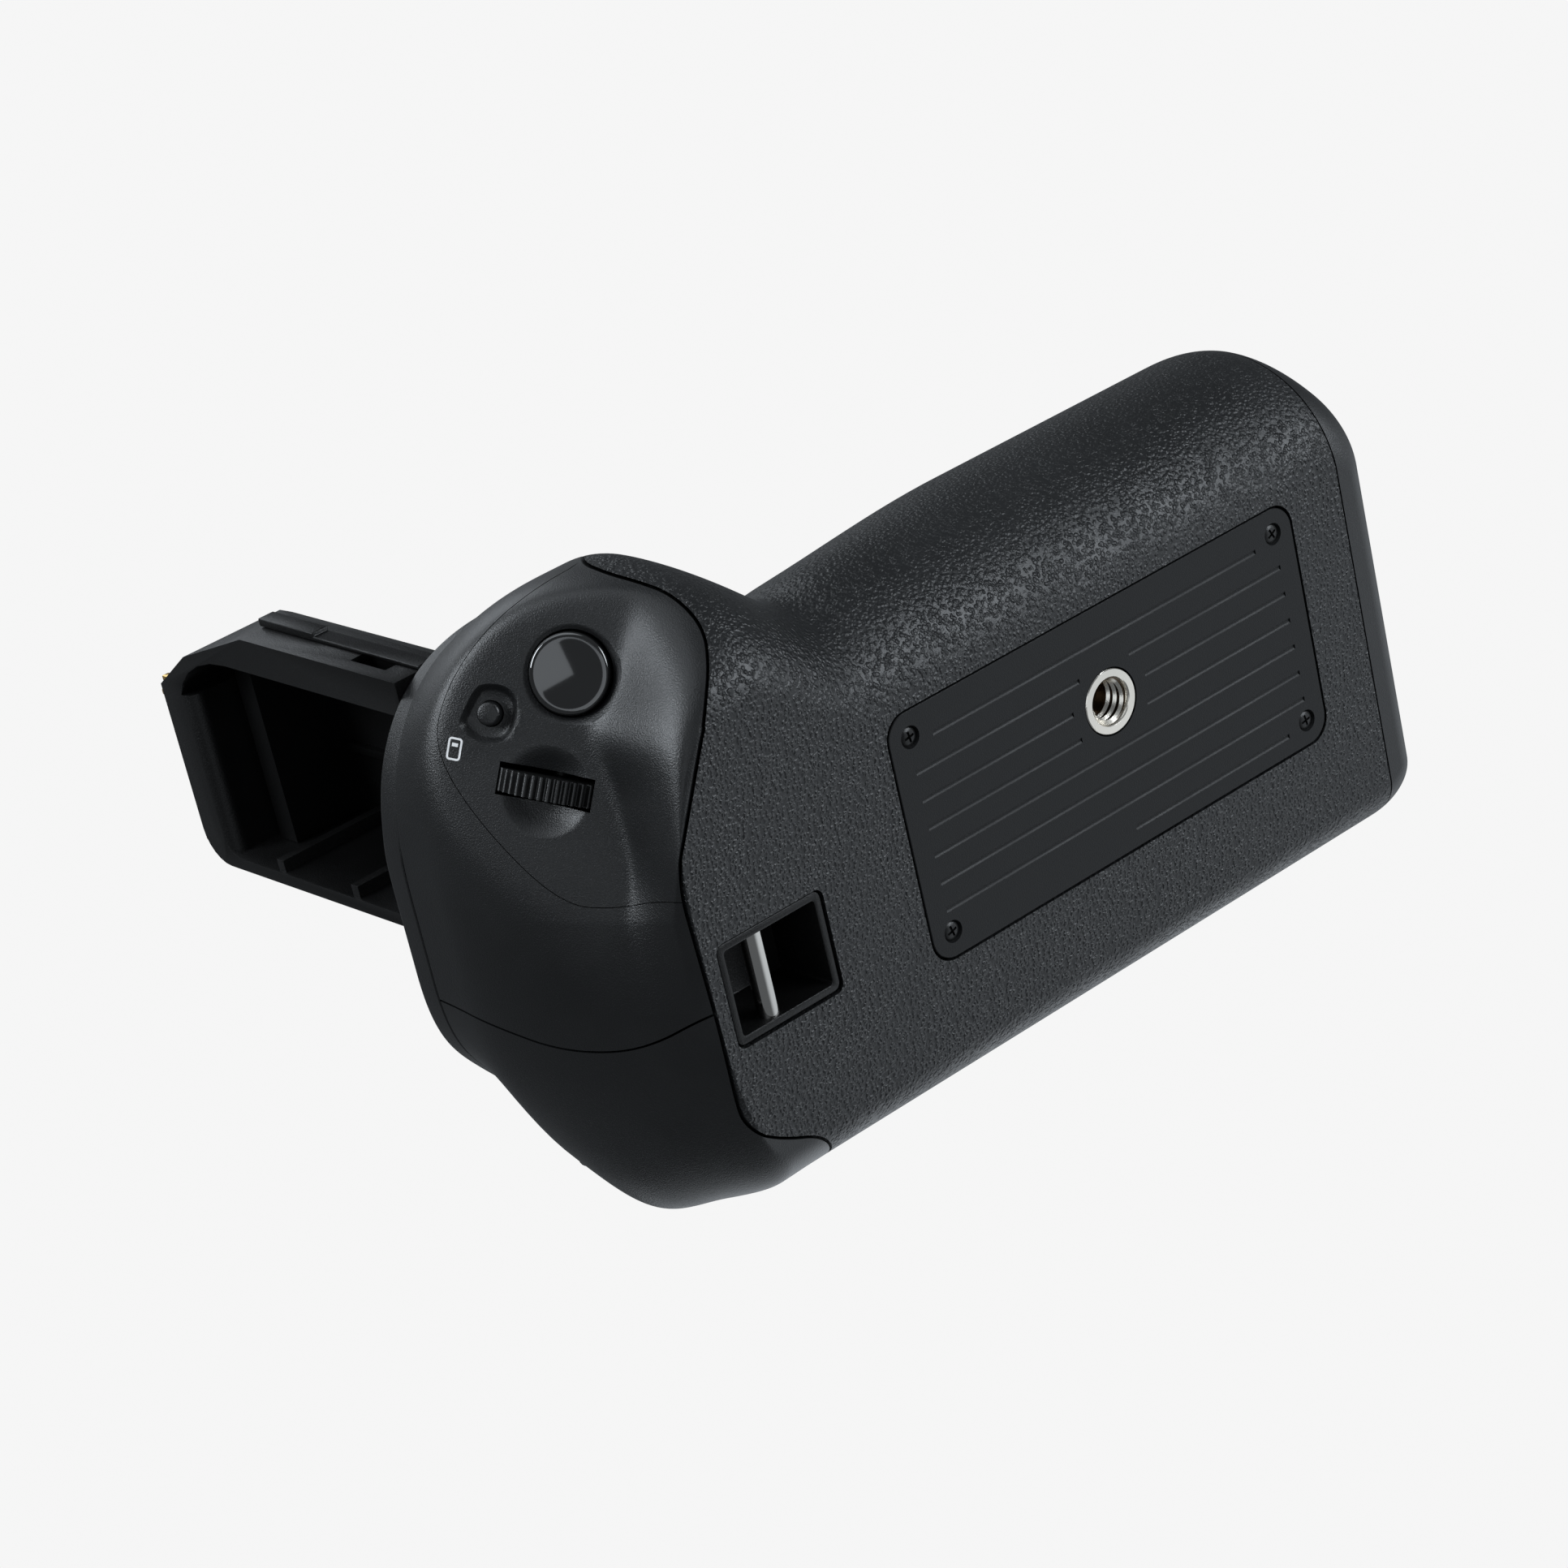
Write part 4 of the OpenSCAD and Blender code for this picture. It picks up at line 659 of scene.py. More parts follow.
# %% Cut the rear cover's holes
REAR_BUTTONS_X, REAR_BUTTON_Z, REAR_BUTTON_R, REAR_HOLE_GAP = (62.8, 68.6, 74.4), 33.4, 2.4, 0.3
POWER_LOW, POWER_HIGH, POWER_TRAVEL = (60.5, 21.2), (65.5, 24.8), 3
for x in REAR_BUTTONS_X:
    carve(rear, prism(ring((x, REAR_BUTTON_Z), REAR_BUTTON_R + REAR_HOLE_GAP, 48), -60, -20, ALONG_Y))
carve(rear, prism(rounded(POWER_LOW, (POWER_HIGH[0] + POWER_TRAVEL, POWER_HIGH[1]), 0.5), -60, -35, ALONG_Y))
hand_over(smooth(rear), "grip_body", "satin_cover", "rear_cover")

# %% [markdown]
# ## Deck
# The deck is the plate that the camera sits on. Its rim shows from every side, so it gets a
# rounded top edge, which is a few more outlines in the stack, each drawn in a little more.

# %% The deck plate
DECK_Z, DECK_T, RIM, SPIGOT = BODY_H + 0.35, 4.05, 0.7, 0.8
DECK_TOP = DECK_Z + DECK_T
DECK_BACK, DECK_DRAW, DECK_DRAW_FROM, DECK_FRONT_FROM, DECK_FRONT_SPAN = 0.9, 3.2, -22, 6, 8
BUSH_R, PIN_R, PIN_Y, HIGH = 6.4, 2.0, 14.5, 60
DECK_SCREWS = ((-48.5, -8), (-26, 14.2), (26, 12.4), (-26, -31), (26, -31), (80.2, 3), (79.5, -18))
DECK_HOLE = [(0, DECK_Z - 1), (1.0, DECK_Z - 1), (1.0, DECK_TOP - 1.0), (1.5, DECK_TOP - 0.3),
             (1.5, HIGH), (0, HIGH)]
steps = [(SPIGOT, BODY_H + 0.03), (SPIGOT, DECK_Z), (0.15, DECK_Z), (0, DECK_Z + 0.15)]
steps += arc((RIM, DECK_TOP - RIM), RIM, 7, math.pi, -QUARTER)
rows = []
for inset, h in steps:
    flat = swollen(plan(BODY_H, inset, 4), BODY_H)
    back = DECK_BACK + DECK_DRAW * to_hook(flat[:, 0], DECK_DRAW_FROM) - BOW * to_hook(flat[:, 0], BOW_FROM)
    flat[:, 1] -= back * ease((flat[:, 1] - DECK_FRONT_FROM) / DECK_FRONT_SPAN)
    rows.append(np.column_stack([flat, np.full(len(flat), h)]))
deck = loft("deck_skin", rows, ((*DECK_MIDDLE, steps[0][1]), (*DECK_MIDDLE, DECK_TOP)))
carve(deck, prism(ring((0, 0), BUSH_R), 0, HIGH), prism(ring((0, PIN_Y), PIN_R - 0.38), 0, HIGH))
for spot in DECK_SCREWS:
    carve(deck, turned("tool", DECK_HOLE, UP, spot, 32))
hand_over(smooth(deck), "grip_body", slot_of["deck_plate"], "deck_plate")

# %% [markdown]
# ## Magazine cap
# The end cap closes the magazine and carries the release knob in a round dish. It is the part
# of the outer loft beyond the cap's seam, so it flows on from the shell when it is shut. A plug
# on its back, drawn in from the same law, fills the shell's mouth.

# %% Cut the cap
KNOB_AT, KNOB_R, KNOB_BUSH_R, KNOB_ROOM_R, PLUG_GAP = (-9.3, 17.5), 10.0, 4.52, 14.6, 0.3
KNOB_FLOOR = -LEFT + 4.9
DISH = [(0, -70), (KNOB_R + 1.1, -70), (KNOB_R + 1.1, -LEFT), (KNOB_R + 0.5, -LEFT + 0.45),
        (KNOB_R + 0.35, -LEFT + 1), (KNOB_R + 0.35, KNOB_FLOOR), (0, KNOB_FLOOR)]
plug_line = rounded((-60, -5), (PLUG_FRONT, CAP_TOP - PLUG_GAP), CAP_R)
carve(cap, cap_tool(0), how="INTERSECT")
plug = body_solid("plug", SKIN + PLUG_GAP, FLOOR + PLUG_GAP, fine=1.5, count=20)
carve(plug, prism(plug_line, CAP_X - 0.5, PLUG_X, ALONG_X), how="INTERSECT")
carve(cap, plug, how="UNION")
carve(cap, turned("tool", DISH, ALONG_X, KNOB_AT),
      prism(ring(KNOB_AT, KNOB_BUSH_R), KNOB_FLOOR - 1, KNOB_FLOOR + 3, ALONG_X),
      prism(ring(KNOB_AT, KNOB_ROOM_R), KNOB_FLOOR + 1.5, -30, ALONG_X))
hand_over(smooth(cap), "magazine", "satin_cover", "magazine_cap")

# %% [markdown]
# ## Trees for what repeats
# Grooves, screw sets, threads and dial teeth repeat by a rule, so Geometry Nodes make them. Each
# tree has named inputs for its sizes and ends in Realize Instances and Set Material. A small
# runner sets the inputs by their identifiers, bakes the result to a plain mesh and drops the
# modifier.

# %% Helpers for the trees
def geometry_tree(name, inputs):
    tree = bpy.data.node_groups.new(name, "GeometryNodeTree")
    for label, kind in [("Geometry", "Geometry"), *inputs, ("Finish", "Material")]:
        tree.interface.new_socket(label, in_out="INPUT", socket_type="NodeSocket" + kind)
    tree.interface.new_socket("Geometry", in_out="OUTPUT", socket_type="NodeSocketGeometry")
    return tree, tree.nodes.new("NodeGroupInput"), tree.nodes.new("NodeGroupOutput")


def end_tree(tree, shape, source, result):
    real = add(tree, "GeometryNodeRealizeInstances")
    paint = add(tree, "GeometryNodeSetMaterial")
    join(tree, (shape, (real, 0)), ((real, 0), (paint, "Geometry")),
         ((source, "Finish"), (paint, "Material")), ((paint, 0), (result, 0)))


def grow(piece, tree, **values):
    maker = piece.modifiers.new("grow", "NODES")
    maker.node_group = tree
    for item in tree.interface.items_tree:
        label = item.name.replace(" ", "_").lower()
        if item.in_out == "INPUT" and label in values:
            maker[item.identifier] = values[label]
    return settle(piece)


# %% [markdown]
# ## Tripod plate
# The black plate round the socket has shallow grooves that keep a tripod head from turning.
# Every groove is one edge of a small wire mesh. The tree runs a round profile along the wires
# and takes the bars out of the plate.

# %% The groove tree
grooves, source, result = geometry_tree("grip_grooves", [("Wires", "Object"), ("Groove radius", "Float")])
wires = add(grooves, "GeometryNodeObjectInfo")
lines = add(grooves, "GeometryNodeMeshToCurve")
profile = add(grooves, "GeometryNodeCurvePrimitiveCircle", {"Resolution": 12})
bars = add(grooves, "GeometryNodeCurveToMesh", {"Fill Caps": True})
taken = add(grooves, "GeometryNodeMeshBoolean", operation="DIFFERENCE", solver="MANIFOLD")
join(grooves,
     ((source, "Wires"), (wires, "Object")), ((wires, "Geometry"), (lines, 0)),
     ((source, "Groove radius"), (profile, "Radius")), ((lines, 0), (bars, "Curve")),
     ((profile, 0), (bars, "Profile Curve")), ((source, "Geometry"), (taken, "Mesh 1")),
     ((bars, 0), (taken, "Mesh 2")))
end_tree(grooves, (taken, "Mesh"), source, result)

# %% The plate
GROOVES, GROOVE_PITCH, GROOVE_FIRST, GROOVE_R, GROOVE_SUNK = 8, 3.95, 8.95, 0.5, -0.3
GROOVE_END, GROOVE_END_BY_SCREW, SOCKET_CLEAR, SCREW_CLEAR = 34.2, 30.2, 6.8, 2.5
SCREW_X, SCREW_Y, PLATE_EDGE = 33.9, 14, 0.1
PLATE_SCREWS = [(sx * SCREW_X, PLATE_MID + sy * SCREW_Y) for sx in (-1, 1) for sy in (-1, 1)]
PLATE_HOLE = [(0, -1), (1.55, -1), (1.55, 0), (1.45, 0.35), (1.0, 1.2), (1.0, 9), (0, 9)]
plate_rim, plate_in = plate_line(0, PLATE_R, 12), plate_line(-PLATE_EDGE, PLATE_R - PLATE_EDGE, 12)
rows = [[(*p, h) for p in edge] for edge, h in ((plate_in, 0), (plate_rim, PLATE_EDGE), (plate_rim, PLATE_T))]
plate = loft("tripod_plate_fine", rows, ((0, PLATE_MID, 0), (0, PLATE_MID, PLATE_T)))
carve(plate, prism(ring((0, 0), INSERT_R + 0.2), -1, 9))
for spot in PLATE_SCREWS:
    carve(plate, turned("tool", PLATE_HOLE, UP, spot, 48))
ends = []
for k in range(GROOVES):
    y = GROOVE_FIRST - k * GROOVE_PITCH
    near = math.sqrt(max(0, SOCKET_CLEAR ** 2 - y * y))
    by_screw = abs(abs(y - PLATE_MID) - SCREW_Y) < SCREW_CLEAR
    far = GROOVE_END_BY_SCREW if by_screw else GROOVE_END
    spans = [(-far, -near), (near, far)] if near else [(-far, far)]
    if k == GROOVES - 1:
        spans = [(-far, 0)]
    ends += [(x, y, GROOVE_SUNK) for span in spans for x in span]
wire = new_piece("groove_wires", ends, [], [(i, i + 1) for i in range(0, len(ends), 2)])
grow(plate, grooves, wires=wire, groove_radius=GROOVE_R * MM, finish=finishes["plate_enamel"])
discard(wire)
hand_over(smooth(plate), "grip_body", slot_of["tripod_plate"], "tripod_plate")

# %% [markdown]
# ## Threads
# The socket and the attachment stud share one quarter inch thread with 1.27 mm pitch. A spiral
# curve carries a four-cornered profile, which leaves a sharp ridge. The socket's ridge stands
# inwards from its bore, the stud's outwards from its core. A dim liner in the bore between the
# ridges is painted shade, with a brownish painted reflection.

# %% The thread tree
threads, source, result = geometry_tree(
    "thread", [("Turns", "Float"), ("Radius", "Float"), ("Rise", "Float"), ("Ridge", "Float")])
spiral = add(threads, "GeometryNodeCurveSpiral", {"Resolution": 64})
upright = add(threads, "GeometryNodeSetCurveNormal", mode="Z_UP")
ridge = add(threads, "GeometryNodeCurvePrimitiveCircle", {"Resolution": 4})
ridged = add(threads, "GeometryNodeCurveToMesh", {"Fill Caps": True})
join(threads,
     ((source, "Turns"), (spiral, "Rotations")), ((source, "Rise"), (spiral, "Height")),
     ((source, "Radius"), (spiral, "Start Radius")), ((source, "Radius"), (spiral, "End Radius")),
     ((source, "Ridge"), (ridge, "Radius")), ((spiral, 0), (upright, 0)),
     ((upright, 0), (ridged, "Curve")), ((ridge, 0), (ridged, "Profile Curve")))
end_tree(threads, (ridged, 0), source, result)
THREAD_PITCH, RIDGE = 1.27, 0.5


def threaded(name, radius, low, high):
    piece = place(name, bpy.data.meshes.new(name))
    grow(piece, threads, turns=(high - low) / THREAD_PITCH, radius=radius * MM, rise=(high - low) * MM,
         ridge=RIDGE * MM, finish=finishes["steel"])
    piece.data.transform(Matrix.Translation((0, 0, low * MM)))
    return smooth(outward(piece))


# %% Socket and stud
STUD_R, STUD_LEN = 3.175, 5.2
BORE_R, BORE_END, LINER = SOCKET_R - 0.12, FLOOR - 0.35, 0.1
SOCKET = [(0, FLOOR - 0.3), (SOCKET_R, FLOOR - 0.3), (SOCKET_R, 0.5), (SOCKET_R + 0.12, 0.12),
          (SOCKET_R + 0.25, 0), (INSERT_R - 0.12, 0), (INSERT_R, 0.12), (INSERT_R, FLOOR), (0, FLOOR)]
BORE = [(0, BORE_END), (BORE_R, BORE_END), (BORE_R, 0.6), (BORE_R + LINER, 0.6),
        (BORE_R + LINER, BORE_END + 0.03), (0, BORE_END + 0.03)]
hand_over(smooth(turned("tripod_socket", SOCKET, UP)), "grip_body", "steel", "tripod_insert")
# The liner paints shade and a brownish reflection into the bore between the thread's ridges.
hand_over(smooth(turned("socket_bore", BORE, UP)), "grip_body", "black_screw", look="socket_shade")
hand_over(threaded("socket_thread", SOCKET_R + 0.02, 0.62, FLOOR - 0.6), "grip_body", "steel")
hand_over(threaded("stud_thread", STUD_R - RIDGE, DECK_TOP + 0.8, DECK_TOP + STUD_LEN - 0.6),
          "attachment", "steel")

# %% [markdown]
# ## Screws
# Four small countersunk screws hold the plate and seven hold the deck. One screw is modelled with
# its cross recess, and a tree sets it on the points of each set, turned by a seeded random angle,
# as screws are never lined up.

# %% The screw and its tree
HEAD = [(0, 0.05), (0.75, 0.08), (1.15, 0.2), (1.38, 0.45), (0.9, 1.1), (0.9, 5.0), (0, 5.2)]
CROSS_LONG, CROSS_WIDE, CROSS_DEEP = 0.8, 0.17, 0.8
screw = turned("screw", HEAD, UP, count=40)
for half in ((CROSS_LONG, CROSS_WIDE), (CROSS_WIDE, CROSS_LONG)):
    carve(screw, prism(frame_of((-half[0], -half[1]), half), -1, CROSS_DEEP))
smooth(screw)
screws, source, result = geometry_tree("screw_set", [("Screw", "Object"), ("Flip", "Vector"), ("Seed", "Int")])
shape = add(screws, "GeometryNodeObjectInfo")
heads = add(screws, "GeometryNodeInstanceOnPoints")
angle = add(screws, "FunctionNodeRandomValue", {3: QUARTER}, data_type="FLOAT")
turn = add(screws, "GeometryNodeRotateInstances")
spin = add(screws, "ShaderNodeCombineXYZ")
join(screws,
     ((source, "Screw"), (shape, "Object")), ((source, "Geometry"), (heads, "Points")),
     ((shape, "Geometry"), (heads, "Instance")), ((source, "Flip"), (heads, "Rotation")),
     ((source, "Seed"), (angle, "Seed")), ((angle, 1), (spin, "Z")),
     ((heads, 0), (turn, "Instances")), ((spin, 0), (turn, "Rotation")))
end_tree(screws, (turn, 0), source, result)

# %% Both sets of screws
for name, spots, height, flip, seed in (("plate_screws", PLATE_SCREWS, 0.1, 0, 3),
                                        ("deck_screws", DECK_SCREWS, DECK_TOP, math.pi, 8)):
    slot = slot_of[name]
    piece = new_piece(name + "_fine", [(*spot, height) for spot in spots], [])
    grow(piece, screws, screw=screw, flip=(flip, 0, 0), seed=seed, finish=finishes[slot])
    hand_over(smooth(piece), "grip_body", slot, name)
discard(screw)

# %% [markdown]
# ## Buttons
# Each button is a turned cap with a rounded rim. The shutter button is polished and slightly
# dished, the others are matt. Only the cap and its stem are needed, and both come from one profile.

# %% Turn the buttons
BUTTON_RIM, PROUD_REAR = 0.5, 0.6


def button(name, axes, at, r, stem, proud, back, end, dish):
    rim = arc((r - BUTTON_RIM, proud - BUTTON_RIM), BUTTON_RIM, 6)
    bowl = [(k * (r - BUTTON_RIM - 0.05), proud - dish * (1 - k * k)) for k in (0.85, 0.65, 0.45, 0.25)]
    profile = [(0, -end), (stem, -end), (stem, -back), (r, -back), *rim, *bowl, (0, proud - dish)]
    return smooth(turned(name, profile, axes, at))


hand_over(button("shutter_button_fine", ON_FACET, SHUTTER_AT, SHUTTER_R, stem=2.0, proud=0.7, back=2.0,
                 end=7.9, dish=0.25), "shutter", "shutter_gloss", "shutter_button")
hand_over(button("function_button_fine", ON_FACET, FUNCTION_AT, FUNCTION_R, stem=1.1, proud=0.45, back=2.2,
                 end=8.2, dish=-0.1), "function", slot_of["function_button"], "function_button")
for k, x in enumerate(REAR_BUTTONS_X):
    node = f"rear_button_{k + 1}"
    low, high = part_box(node)
    face, tail = low[1] / MM, high[1] / MM
    axes = (np.array([x, face + PROUD_REAR, REAR_BUTTON_Z]), X, Z, -Y)
    hand_over(button(node + "_fine", axes, (0, 0), REAR_BUTTON_R, stem=1.3, proud=PROUD_REAR, back=3.0,
                     end=tail - face - PROUD_REAR, dish=0.12), f"rear_{k + 1}", slot_of[node], node)

# %% [markdown]
# ## Control dial
# The dial is a toothed wheel. Its outline is a circle whose radius swings with the angle, so a
# tree can draw it from the number of teeth, fill it and draw it out to its width.

# %% The dial tree
dials, source, result = geometry_tree(
    "toothed_wheel", [("Teeth", "Int"), ("Radius", "Float"), ("Depth", "Float"), ("Width", "Float")])
POINTS_A_TOOTH = 12
round_line = add(dials, "GeometryNodeCurvePrimitiveCircle")
along = add(dials, "GeometryNodeSplineParameter")
here = add(dials, "GeometryNodeInputPosition")
stretch = add(dials, "ShaderNodeVectorMath", operation="SCALE")
bend = add(dials, "GeometryNodeSetPosition")
disc = add(dials, "GeometryNodeFillCurve", mode="NGONS")
wall = add(dials, "GeometryNodeExtrudeMesh", {"Individual": False}, mode="FACES")
under = add(dials, "GeometryNodeFlipFaces")
both = add(dials, "GeometryNodeJoinGeometry")
sewn = add(dials, "GeometryNodeMergeByDistance", {"Distance": 0.01 * MM})
teeth, radius = (source, "Teeth"), (source, "Radius")
phase = calc(dials, "MULTIPLY", calc(dials, "MULTIPLY", (along, "Factor"), teeth), 2 * math.pi)
valley = calc(dials, "SUBTRACT", 1, between(dials, calc(dials, "COSINE", phase), -0.9, 0.8))
cut = calc(dials, "DIVIDE", calc(dials, "MULTIPLY", (source, "Depth"), valley), radius)
join(dials,
     (calc(dials, "MULTIPLY", teeth, POINTS_A_TOOTH), (round_line, "Resolution")),
     (radius, (round_line, "Radius")), ((here, 0), (stretch, 0)),
     (calc(dials, "SUBTRACT", 1, cut), (stretch, "Scale")), ((round_line, 0), (bend, "Geometry")),
     ((stretch, 0), (bend, "Position")), ((bend, 0), (disc, 0)), ((disc, 0), (wall, "Mesh")),
     ((source, "Width"), (wall, "Offset Scale")), ((disc, 0), (under, 0)), ((under, 0), (both, 0)),
     ((wall, "Mesh"), (both, 0)), ((both, 0), (sewn, "Geometry")))
end_tree(dials, (sewn, 0), source, result)

# %% The dial in its place
TEETH, TOOTH_DEPTH, AXLE_HOLE_R = 52, 0.6, 1.25
dial = place("control_dial_fine", bpy.data.meshes.new("control_dial_fine"))
grow(dial, dials, teeth=TEETH, radius=DIAL_R * MM, depth=TOOTH_DEPTH * MM, width=DIAL_W * MM,
     finish=finishes["dial_plastic"])
outward(dial)
carve(dial, prism(ring((0, 0), AXLE_HOLE_R, 40), -9, 9))
hub = Matrix.Translation(Vector(spot_on(ON_FACET, *DIAL_AT, -DIAL_DEPTH) * MM))
across = Matrix(np.column_stack([FACET_V, FACET_N, FACET_U]).tolist()).to_4x4()
dial.data.transform(hub @ across @ Matrix.Translation((0, 0, -DIAL_W * MM / 2)))
hand_over(smooth(outward(dial)), "dial", slot_of["control_dial"], "control_dial")

# %% [markdown]
# ## Softened solids
# The remaining plain pieces are moulded or milled, and no such edge is razor sharp. A copy of each
# solid has its loose triangles merged and its flat faces joined, and a small bevel catches the
# light along its edges. The pillar gets the thick curled wall at its tip first, and the
# attachment screw is turned down to its core, which then carries the thread.

# %% Soften the edges
TIP_X, TIP_Y, TIP_Z, TIP_CURL = (61, 78), (-8.2, 17.0), (99.5, 103.5), 2.2


def soften(piece, width):
    edge = piece.modifiers.new("edge", "BEVEL")
    edge.width = width * MM
    edge.segments = 2
    edge.limit_method = "ANGLE"
    edge.angle_limit = SHARP
    return settle(piece)


def tip_wall():
    curl = arc((TIP_X[1] - TIP_CURL, TIP_Z[0] + TIP_CURL), TIP_CURL, 9, turn=-QUARTER)
    return prism([(TIP_X[0], TIP_Z[1]), (TIP_X[1], TIP_Z[1]), *curl, (TIP_X[0], TIP_Z[0])], *TIP_Y, ALONG_Y)


def thread_sheath():
    sheath = prism(ring((0, 0), 6), DECK_TOP + 0.6, DECK_TOP + STUD_LEN - 0.4)
    return carve(sheath, prism(ring((0, 0), STUD_R - RIDGE), DECK_TOP, DECK_TOP + STUD_LEN))


def softened(node, width, body):
    piece = copy_of(frame["nodes"][node], node + "_soft")
    work = bmesh.new()
    work.from_mesh(piece.data)
    bmesh.ops.remove_doubles(work, verts=work.verts, dist=0.002 * MM)
    bmesh.ops.dissolve_limit(work, angle_limit=math.radians(0.4), verts=work.verts, edges=work.edges)
    work.to_mesh(piece.data)
    work.free()
    if node == "pillar":
        carve(piece, tip_wall(), how="UNION")
    soften(piece, width)
    if node == "attachment_screw":
        carve(piece, thread_sheath())
    hand_over(smooth(piece), body, slot_of[node], node)


EDGE_WIDTHS = (
    ("grip_body", {"pillar": 0.35, "pillar_rail": 0.2, "pillar_contacts": 0.15, "locating_pin": 0.3,
                   "screw_bush": 0.2}),
    ("knob", {"release_knob": 0.4}), ("wheel", {"drive_wheel": 0.15}), ("power", {"power_switch": 0.25}),
    ("attachment", {"attachment_screw": 0.15}), ("grip_body", {"deck_pads": 0.12}),
    ("magazine", {"magazine_tray": 0.15, "tray_sides": 0.15, "tray_partitions": 0.15}))
for body, widths in EDGE_WIDTHS:
    for node, width in widths.items():
        softened(node, width, body)

# %% Gilt tips at the pillar's end
GILT_X, GILT_HALF, GILT_LOW, GILT_HIGH = (76.6, 77.8), 0.45, 2, 0.75
tips = None
for y, top in ((-6.2, 106.4), (16.4, 106.8), (18.7, 105.6)):
    line = frame_of((GILT_X[0], y - GILT_HALF), (GILT_X[1], y + GILT_HALF))
    tip = prism(line, top - GILT_LOW, top + GILT_HIGH)
    tips = carve(tips, tip, how="UNION") if tips else tip
tips.name = "contact_tips"
hand_over(smooth(soften(tips, 0.2)), "grip_body", "gold")

# %% The strap's frame and its polished bar
BAR_R, BAR_X, BAR_Z, BAR_MORE = 1.48, STRAP_LOW[0] + 9.4, 2.0, 0.9
strap = carve(prism(strap_line(STRAP_FLANGE, 1.1), 0.1, STRAP_DEPTH + 1.2),
              prism(strap_line(0, 0.5), -1, STRAP_DEPTH))
strap.name = "strap_frame_fine"
# The frame wears the dark pillar finish, not the covers' satin: painted shade in the strap window.
hand_over(smooth(soften(strap, 0.2)), "grip_body", "pillar_plastic", "strap_frame")
low, high = STRAP_LOW[1] - BAR_MORE, STRAP_LOW[1] + STRAP_W + BAR_MORE
bar = turned("strap_bar_fine", [(0, low), (BAR_R, low), (BAR_R, high), (0, high)], ALONG_Y, (BAR_X, BAR_Z))
hand_over(smooth(bar), "grip_body", "steel", "strap_bar", look="polished_bar")

# %% [markdown]
# ## Function mark
# A small white mark stands beside the dial: a plain rounded frame with a bar, laid on the
# cover's skin by rays along the slope.

# %% Lay the mark on the skin
MARK_AT, MARK_HALF, MARK_LINE = (12.1, 13.2), (1.45, 0.95), 0.26
MARK_PROUD, MARK_THICK, RAY_FROM = 0.03, 0.06, 20


def on_skin(x, y):
    start = spot_on(ON_FACET, MARK_AT[0] + x, MARK_AT[1] + y, RAY_FROM)
    hits = [skin.ray_cast(Vector(start * MM), Vector(-FACET_N)) for skin in (panel, end)]
    spots = [np.array(spot) / MM for hit, spot, _, _ in hits if hit]
    return min(spots, key=lambda spot: np.linalg.norm(spot - start)) + MARK_PROUD * FACET_N


bpy.context.view_layer.update()
hole = [s - MARK_LINE for s in MARK_HALF]
outer_edge = rounded([-s for s in MARK_HALF], MARK_HALF, 0.45, 6)
inner_edge = rounded([-s for s in hole], hole, 0.2, 6)
n = len(outer_edge)
points = [on_skin(x, y) for x, y in outer_edge + inner_edge + frame_of((-0.75, -0.4), (-0.3, 0.4))]
faces = [(j, (j + 1) % n, n + (j + 1) % n, n + j) for j in range(n)] + [tuple(range(2 * n, 2 * n + 4))]
mark = new_piece("function_mark", points, faces)
thick = mark.modifiers.new("thick", "SOLIDIFY")
thick.thickness = MARK_THICK * MM
thick.offset = 0
hand_over(outward(settle(mark)), "grip_body", "satin_cover", look="mark_white")

# %% [markdown]
# ## Camera, light and floor
# The picture looks up at the underside from the shutter end, through a longish lens. A soft light
# beyond the front roll gives the long highlight, a small strong one the gleam on the panel's lip,
# and a weak one mirrors in the shutter button. Three wide fills and a pale world do the rest. The
# camera stands below the floor, so the floor is seen only from above: its back is clear.

# %% Camera
lens = bpy.data.cameras.new("camera")
lens.lens, lens.sensor_width = 102.84, 36.0
camera = place("camera", lens)
CAMERA_RIGHT, CAMERA_UP = (-0.7381, -0.2107, -0.6409), (-0.4107, 0.8940, 0.1790)
CAMERA_BACK, CAMERA_AT = (0.5353, 0.3954, -0.7464), (0.35299, 0.23326, -0.41581)
stand = Matrix((CAMERA_RIGHT, CAMERA_UP, CAMERA_BACK)).transposed().to_4x4()
stand.translation = CAMERA_AT
camera.matrix_world = stand
bpy.context.scene.camera = camera
bpy.context.scene.view_settings.view_transform = "Standard"

# %% Lights
AIM, COOL = Vector((0.016, 0.0, 0.03)), (0.88, 0.94, 1.0)


def soft_light(name, towards, wide, high, glow, turn=0.0, distance=0.9):
    lamp = bpy.data.lights.new(name, "AREA")
    lamp.shape, lamp.size, lamp.size_y = "RECTANGLE", wide, high
    lamp.energy = glow * math.pi * wide * high
    lamp.color = COOL
    away = Vector(towards).normalized()
    aimed = away.to_track_quat("Z", "Y").to_matrix().to_4x4() @ Matrix.Rotation(math.radians(turn), 4, "Z")
    place(name, lamp).matrix_world = Matrix.Translation(AIM + away * distance) @ aimed


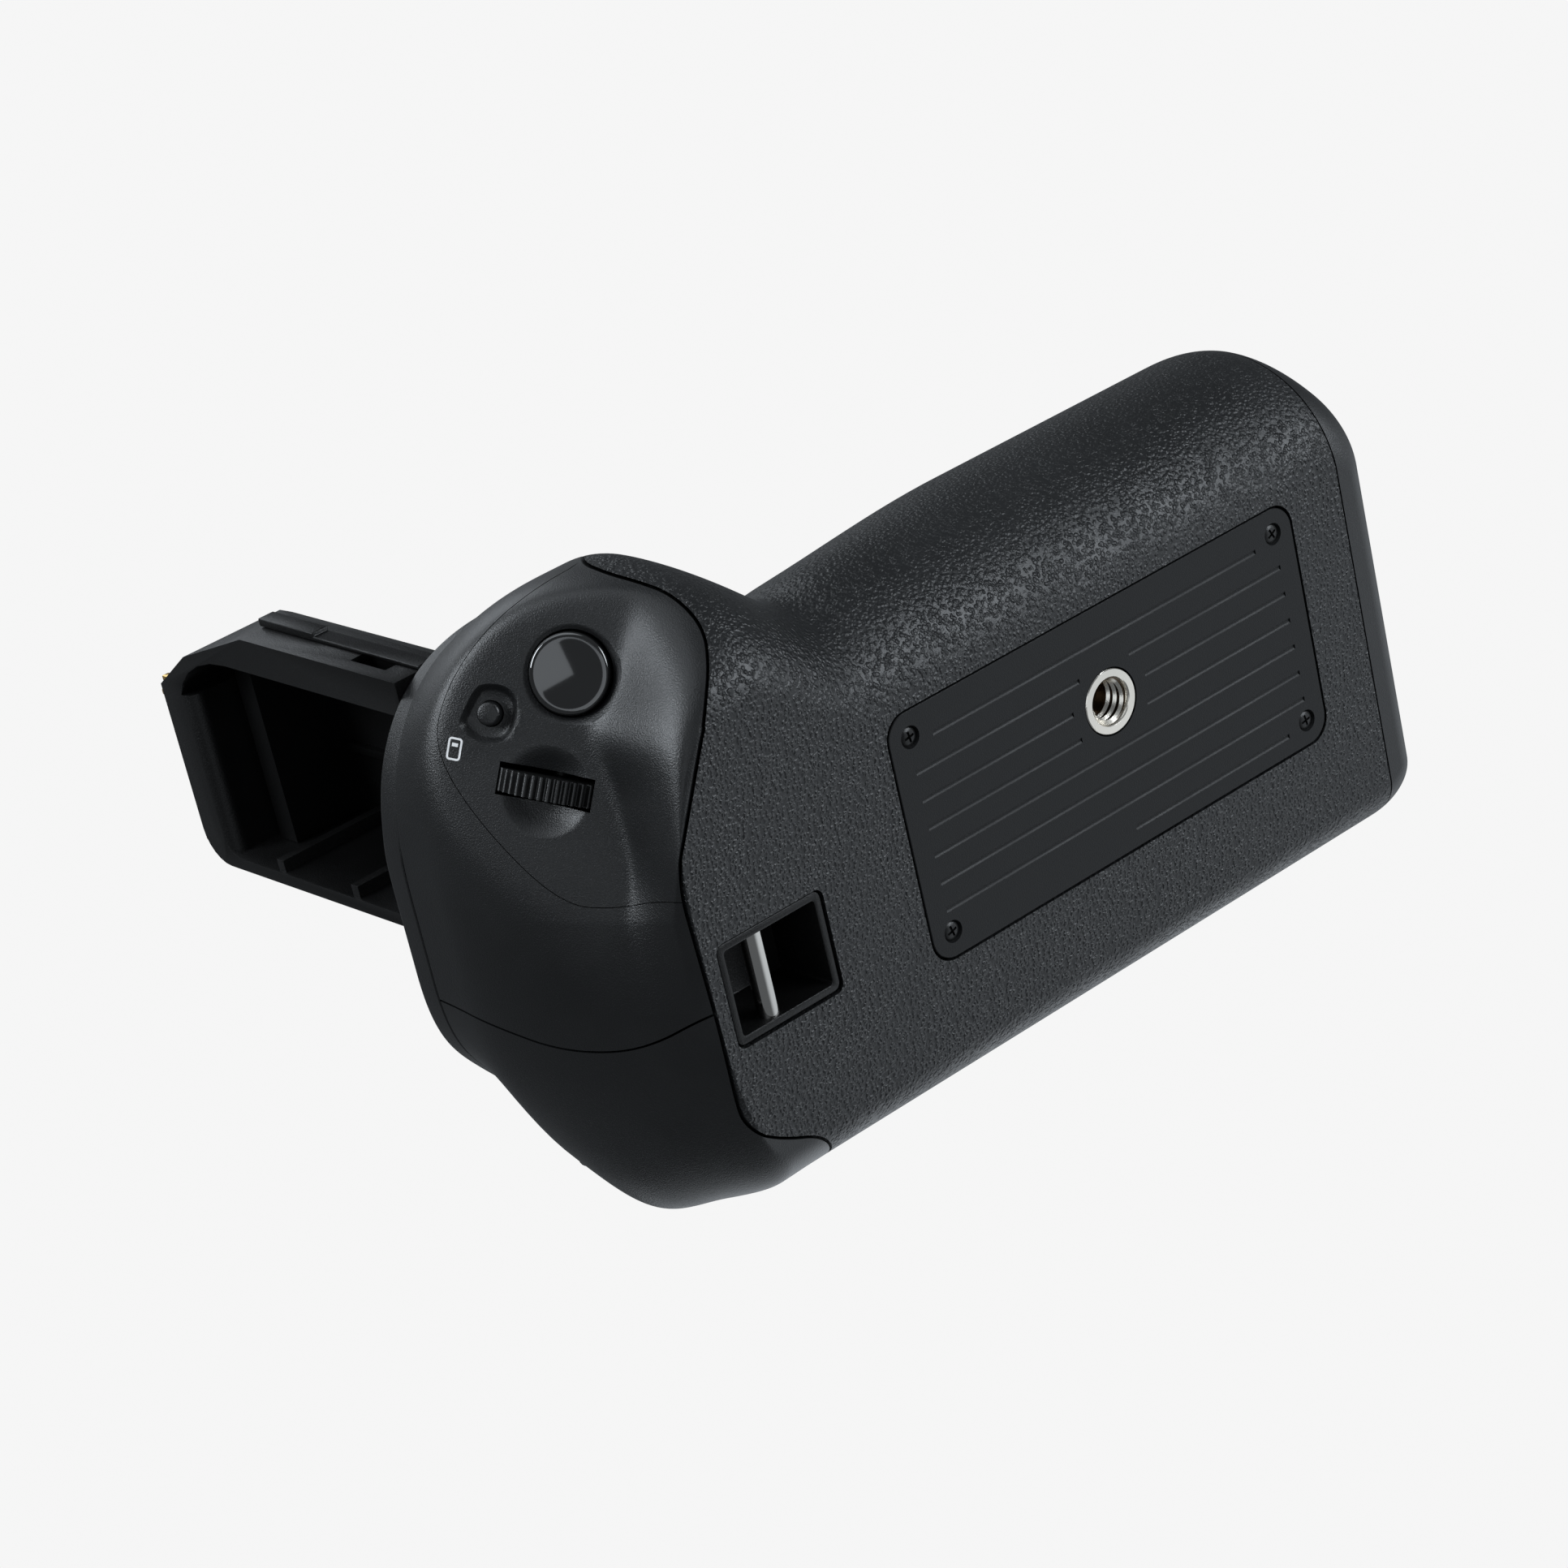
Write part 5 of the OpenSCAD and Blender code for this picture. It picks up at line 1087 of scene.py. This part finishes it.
soft_light("key_on_front_roll", (-0.50, 0.42, -0.75), 0.55, 0.55, glow=8.0)
soft_light("light_on_lip", (0.77, 0.53, 0.37), 0.32, 0.36, glow=12.5)
soft_light("light_on_button", (0.68, 0.235, -0.605), 0.54, 0.50, glow=0.9, turn=32)
soft_light("front_fill", (0.4, 0.91, 0.1), 0.7, 0.7, glow=1.3)
soft_light("deck_light", (0.0, 0.5, 0.85), 0.9, 0.9, glow=1.6, distance=1.2)
soft_light("rear_fill", (-0.2, -0.97, 0.15), 1.0, 1.0, glow=0.9)

# %% World: pale paper for the eye, a room that is brighter on one side for the gloss
PAPER_AT, PAPER = (-0.734, -0.542, -0.411), (0.920, 0.920, 0.920, 1)
world = bpy.context.scene.world = bpy.data.worlds.new("pale_room")
world.use_nodes = True
air = world.node_tree
sky = air.nodes["Background"]
sky.inputs["Color"].default_value = (*COOL, 1)
paper = add(air, "ShaderNodeBackground", {"Color": PAPER})
path = add(air, "ShaderNodeLightPath")
seen = add(air, "ShaderNodeMixShader")
ahead = add(air, "ShaderNodeTexCoord")
facing = add(air, "ShaderNodeVectorMath", {1: PAPER_AT}, operation="DOT_PRODUCT")
join(air, ((ahead, "Generated"), (facing, 0)),
     (between(air, (facing, "Value"), 0.55, 0.98, 0.17, 0.92), (sky, "Strength")),
     ((path, "Is Camera Ray"), (seen, 0)), ((sky, 0), (seen, 1)),
     ((paper, 0), (seen, 2)), ((seen, 0), (air.nodes["World Output"], "Surface")))

# %% Floor, seen only from above
WIDE, FLOOR_Z = 6000, -0.3
floor = new_piece("floor", [(x, y, FLOOR_Z) for x, y in frame_of((-WIDE, -WIDE), (WIDE, WIDE))], [(0, 1, 2, 3)])
floor_paint = bpy.data.materials.new("floor_paper")
floor_paint.use_nodes = True
tree = floor_paint.node_tree
matt = tree.nodes["Principled BSDF"]
matt.inputs["Base Color"].default_value = (0.86, 0.86, 0.86, 1)
matt.inputs["Roughness"].default_value = 0.8
side = add(tree, "ShaderNodeNewGeometry")
clear = add(tree, "ShaderNodeBsdfTransparent")
choose = add(tree, "ShaderNodeMixShader")
join(tree, ((side, "Backfacing"), (choose, 0)), ((matt, 0), (choose, 1)),
     ((clear, 0), (choose, 2)), ((choose, 0), (tree.nodes["Material Output"], "Surface")))
floor.data.materials.append(floor_paint)
floor.visible_shadow = floor.visible_diffuse = floor.visible_glossy = False

# %% Bring the view layer up to date
bpy.context.view_layer.update()
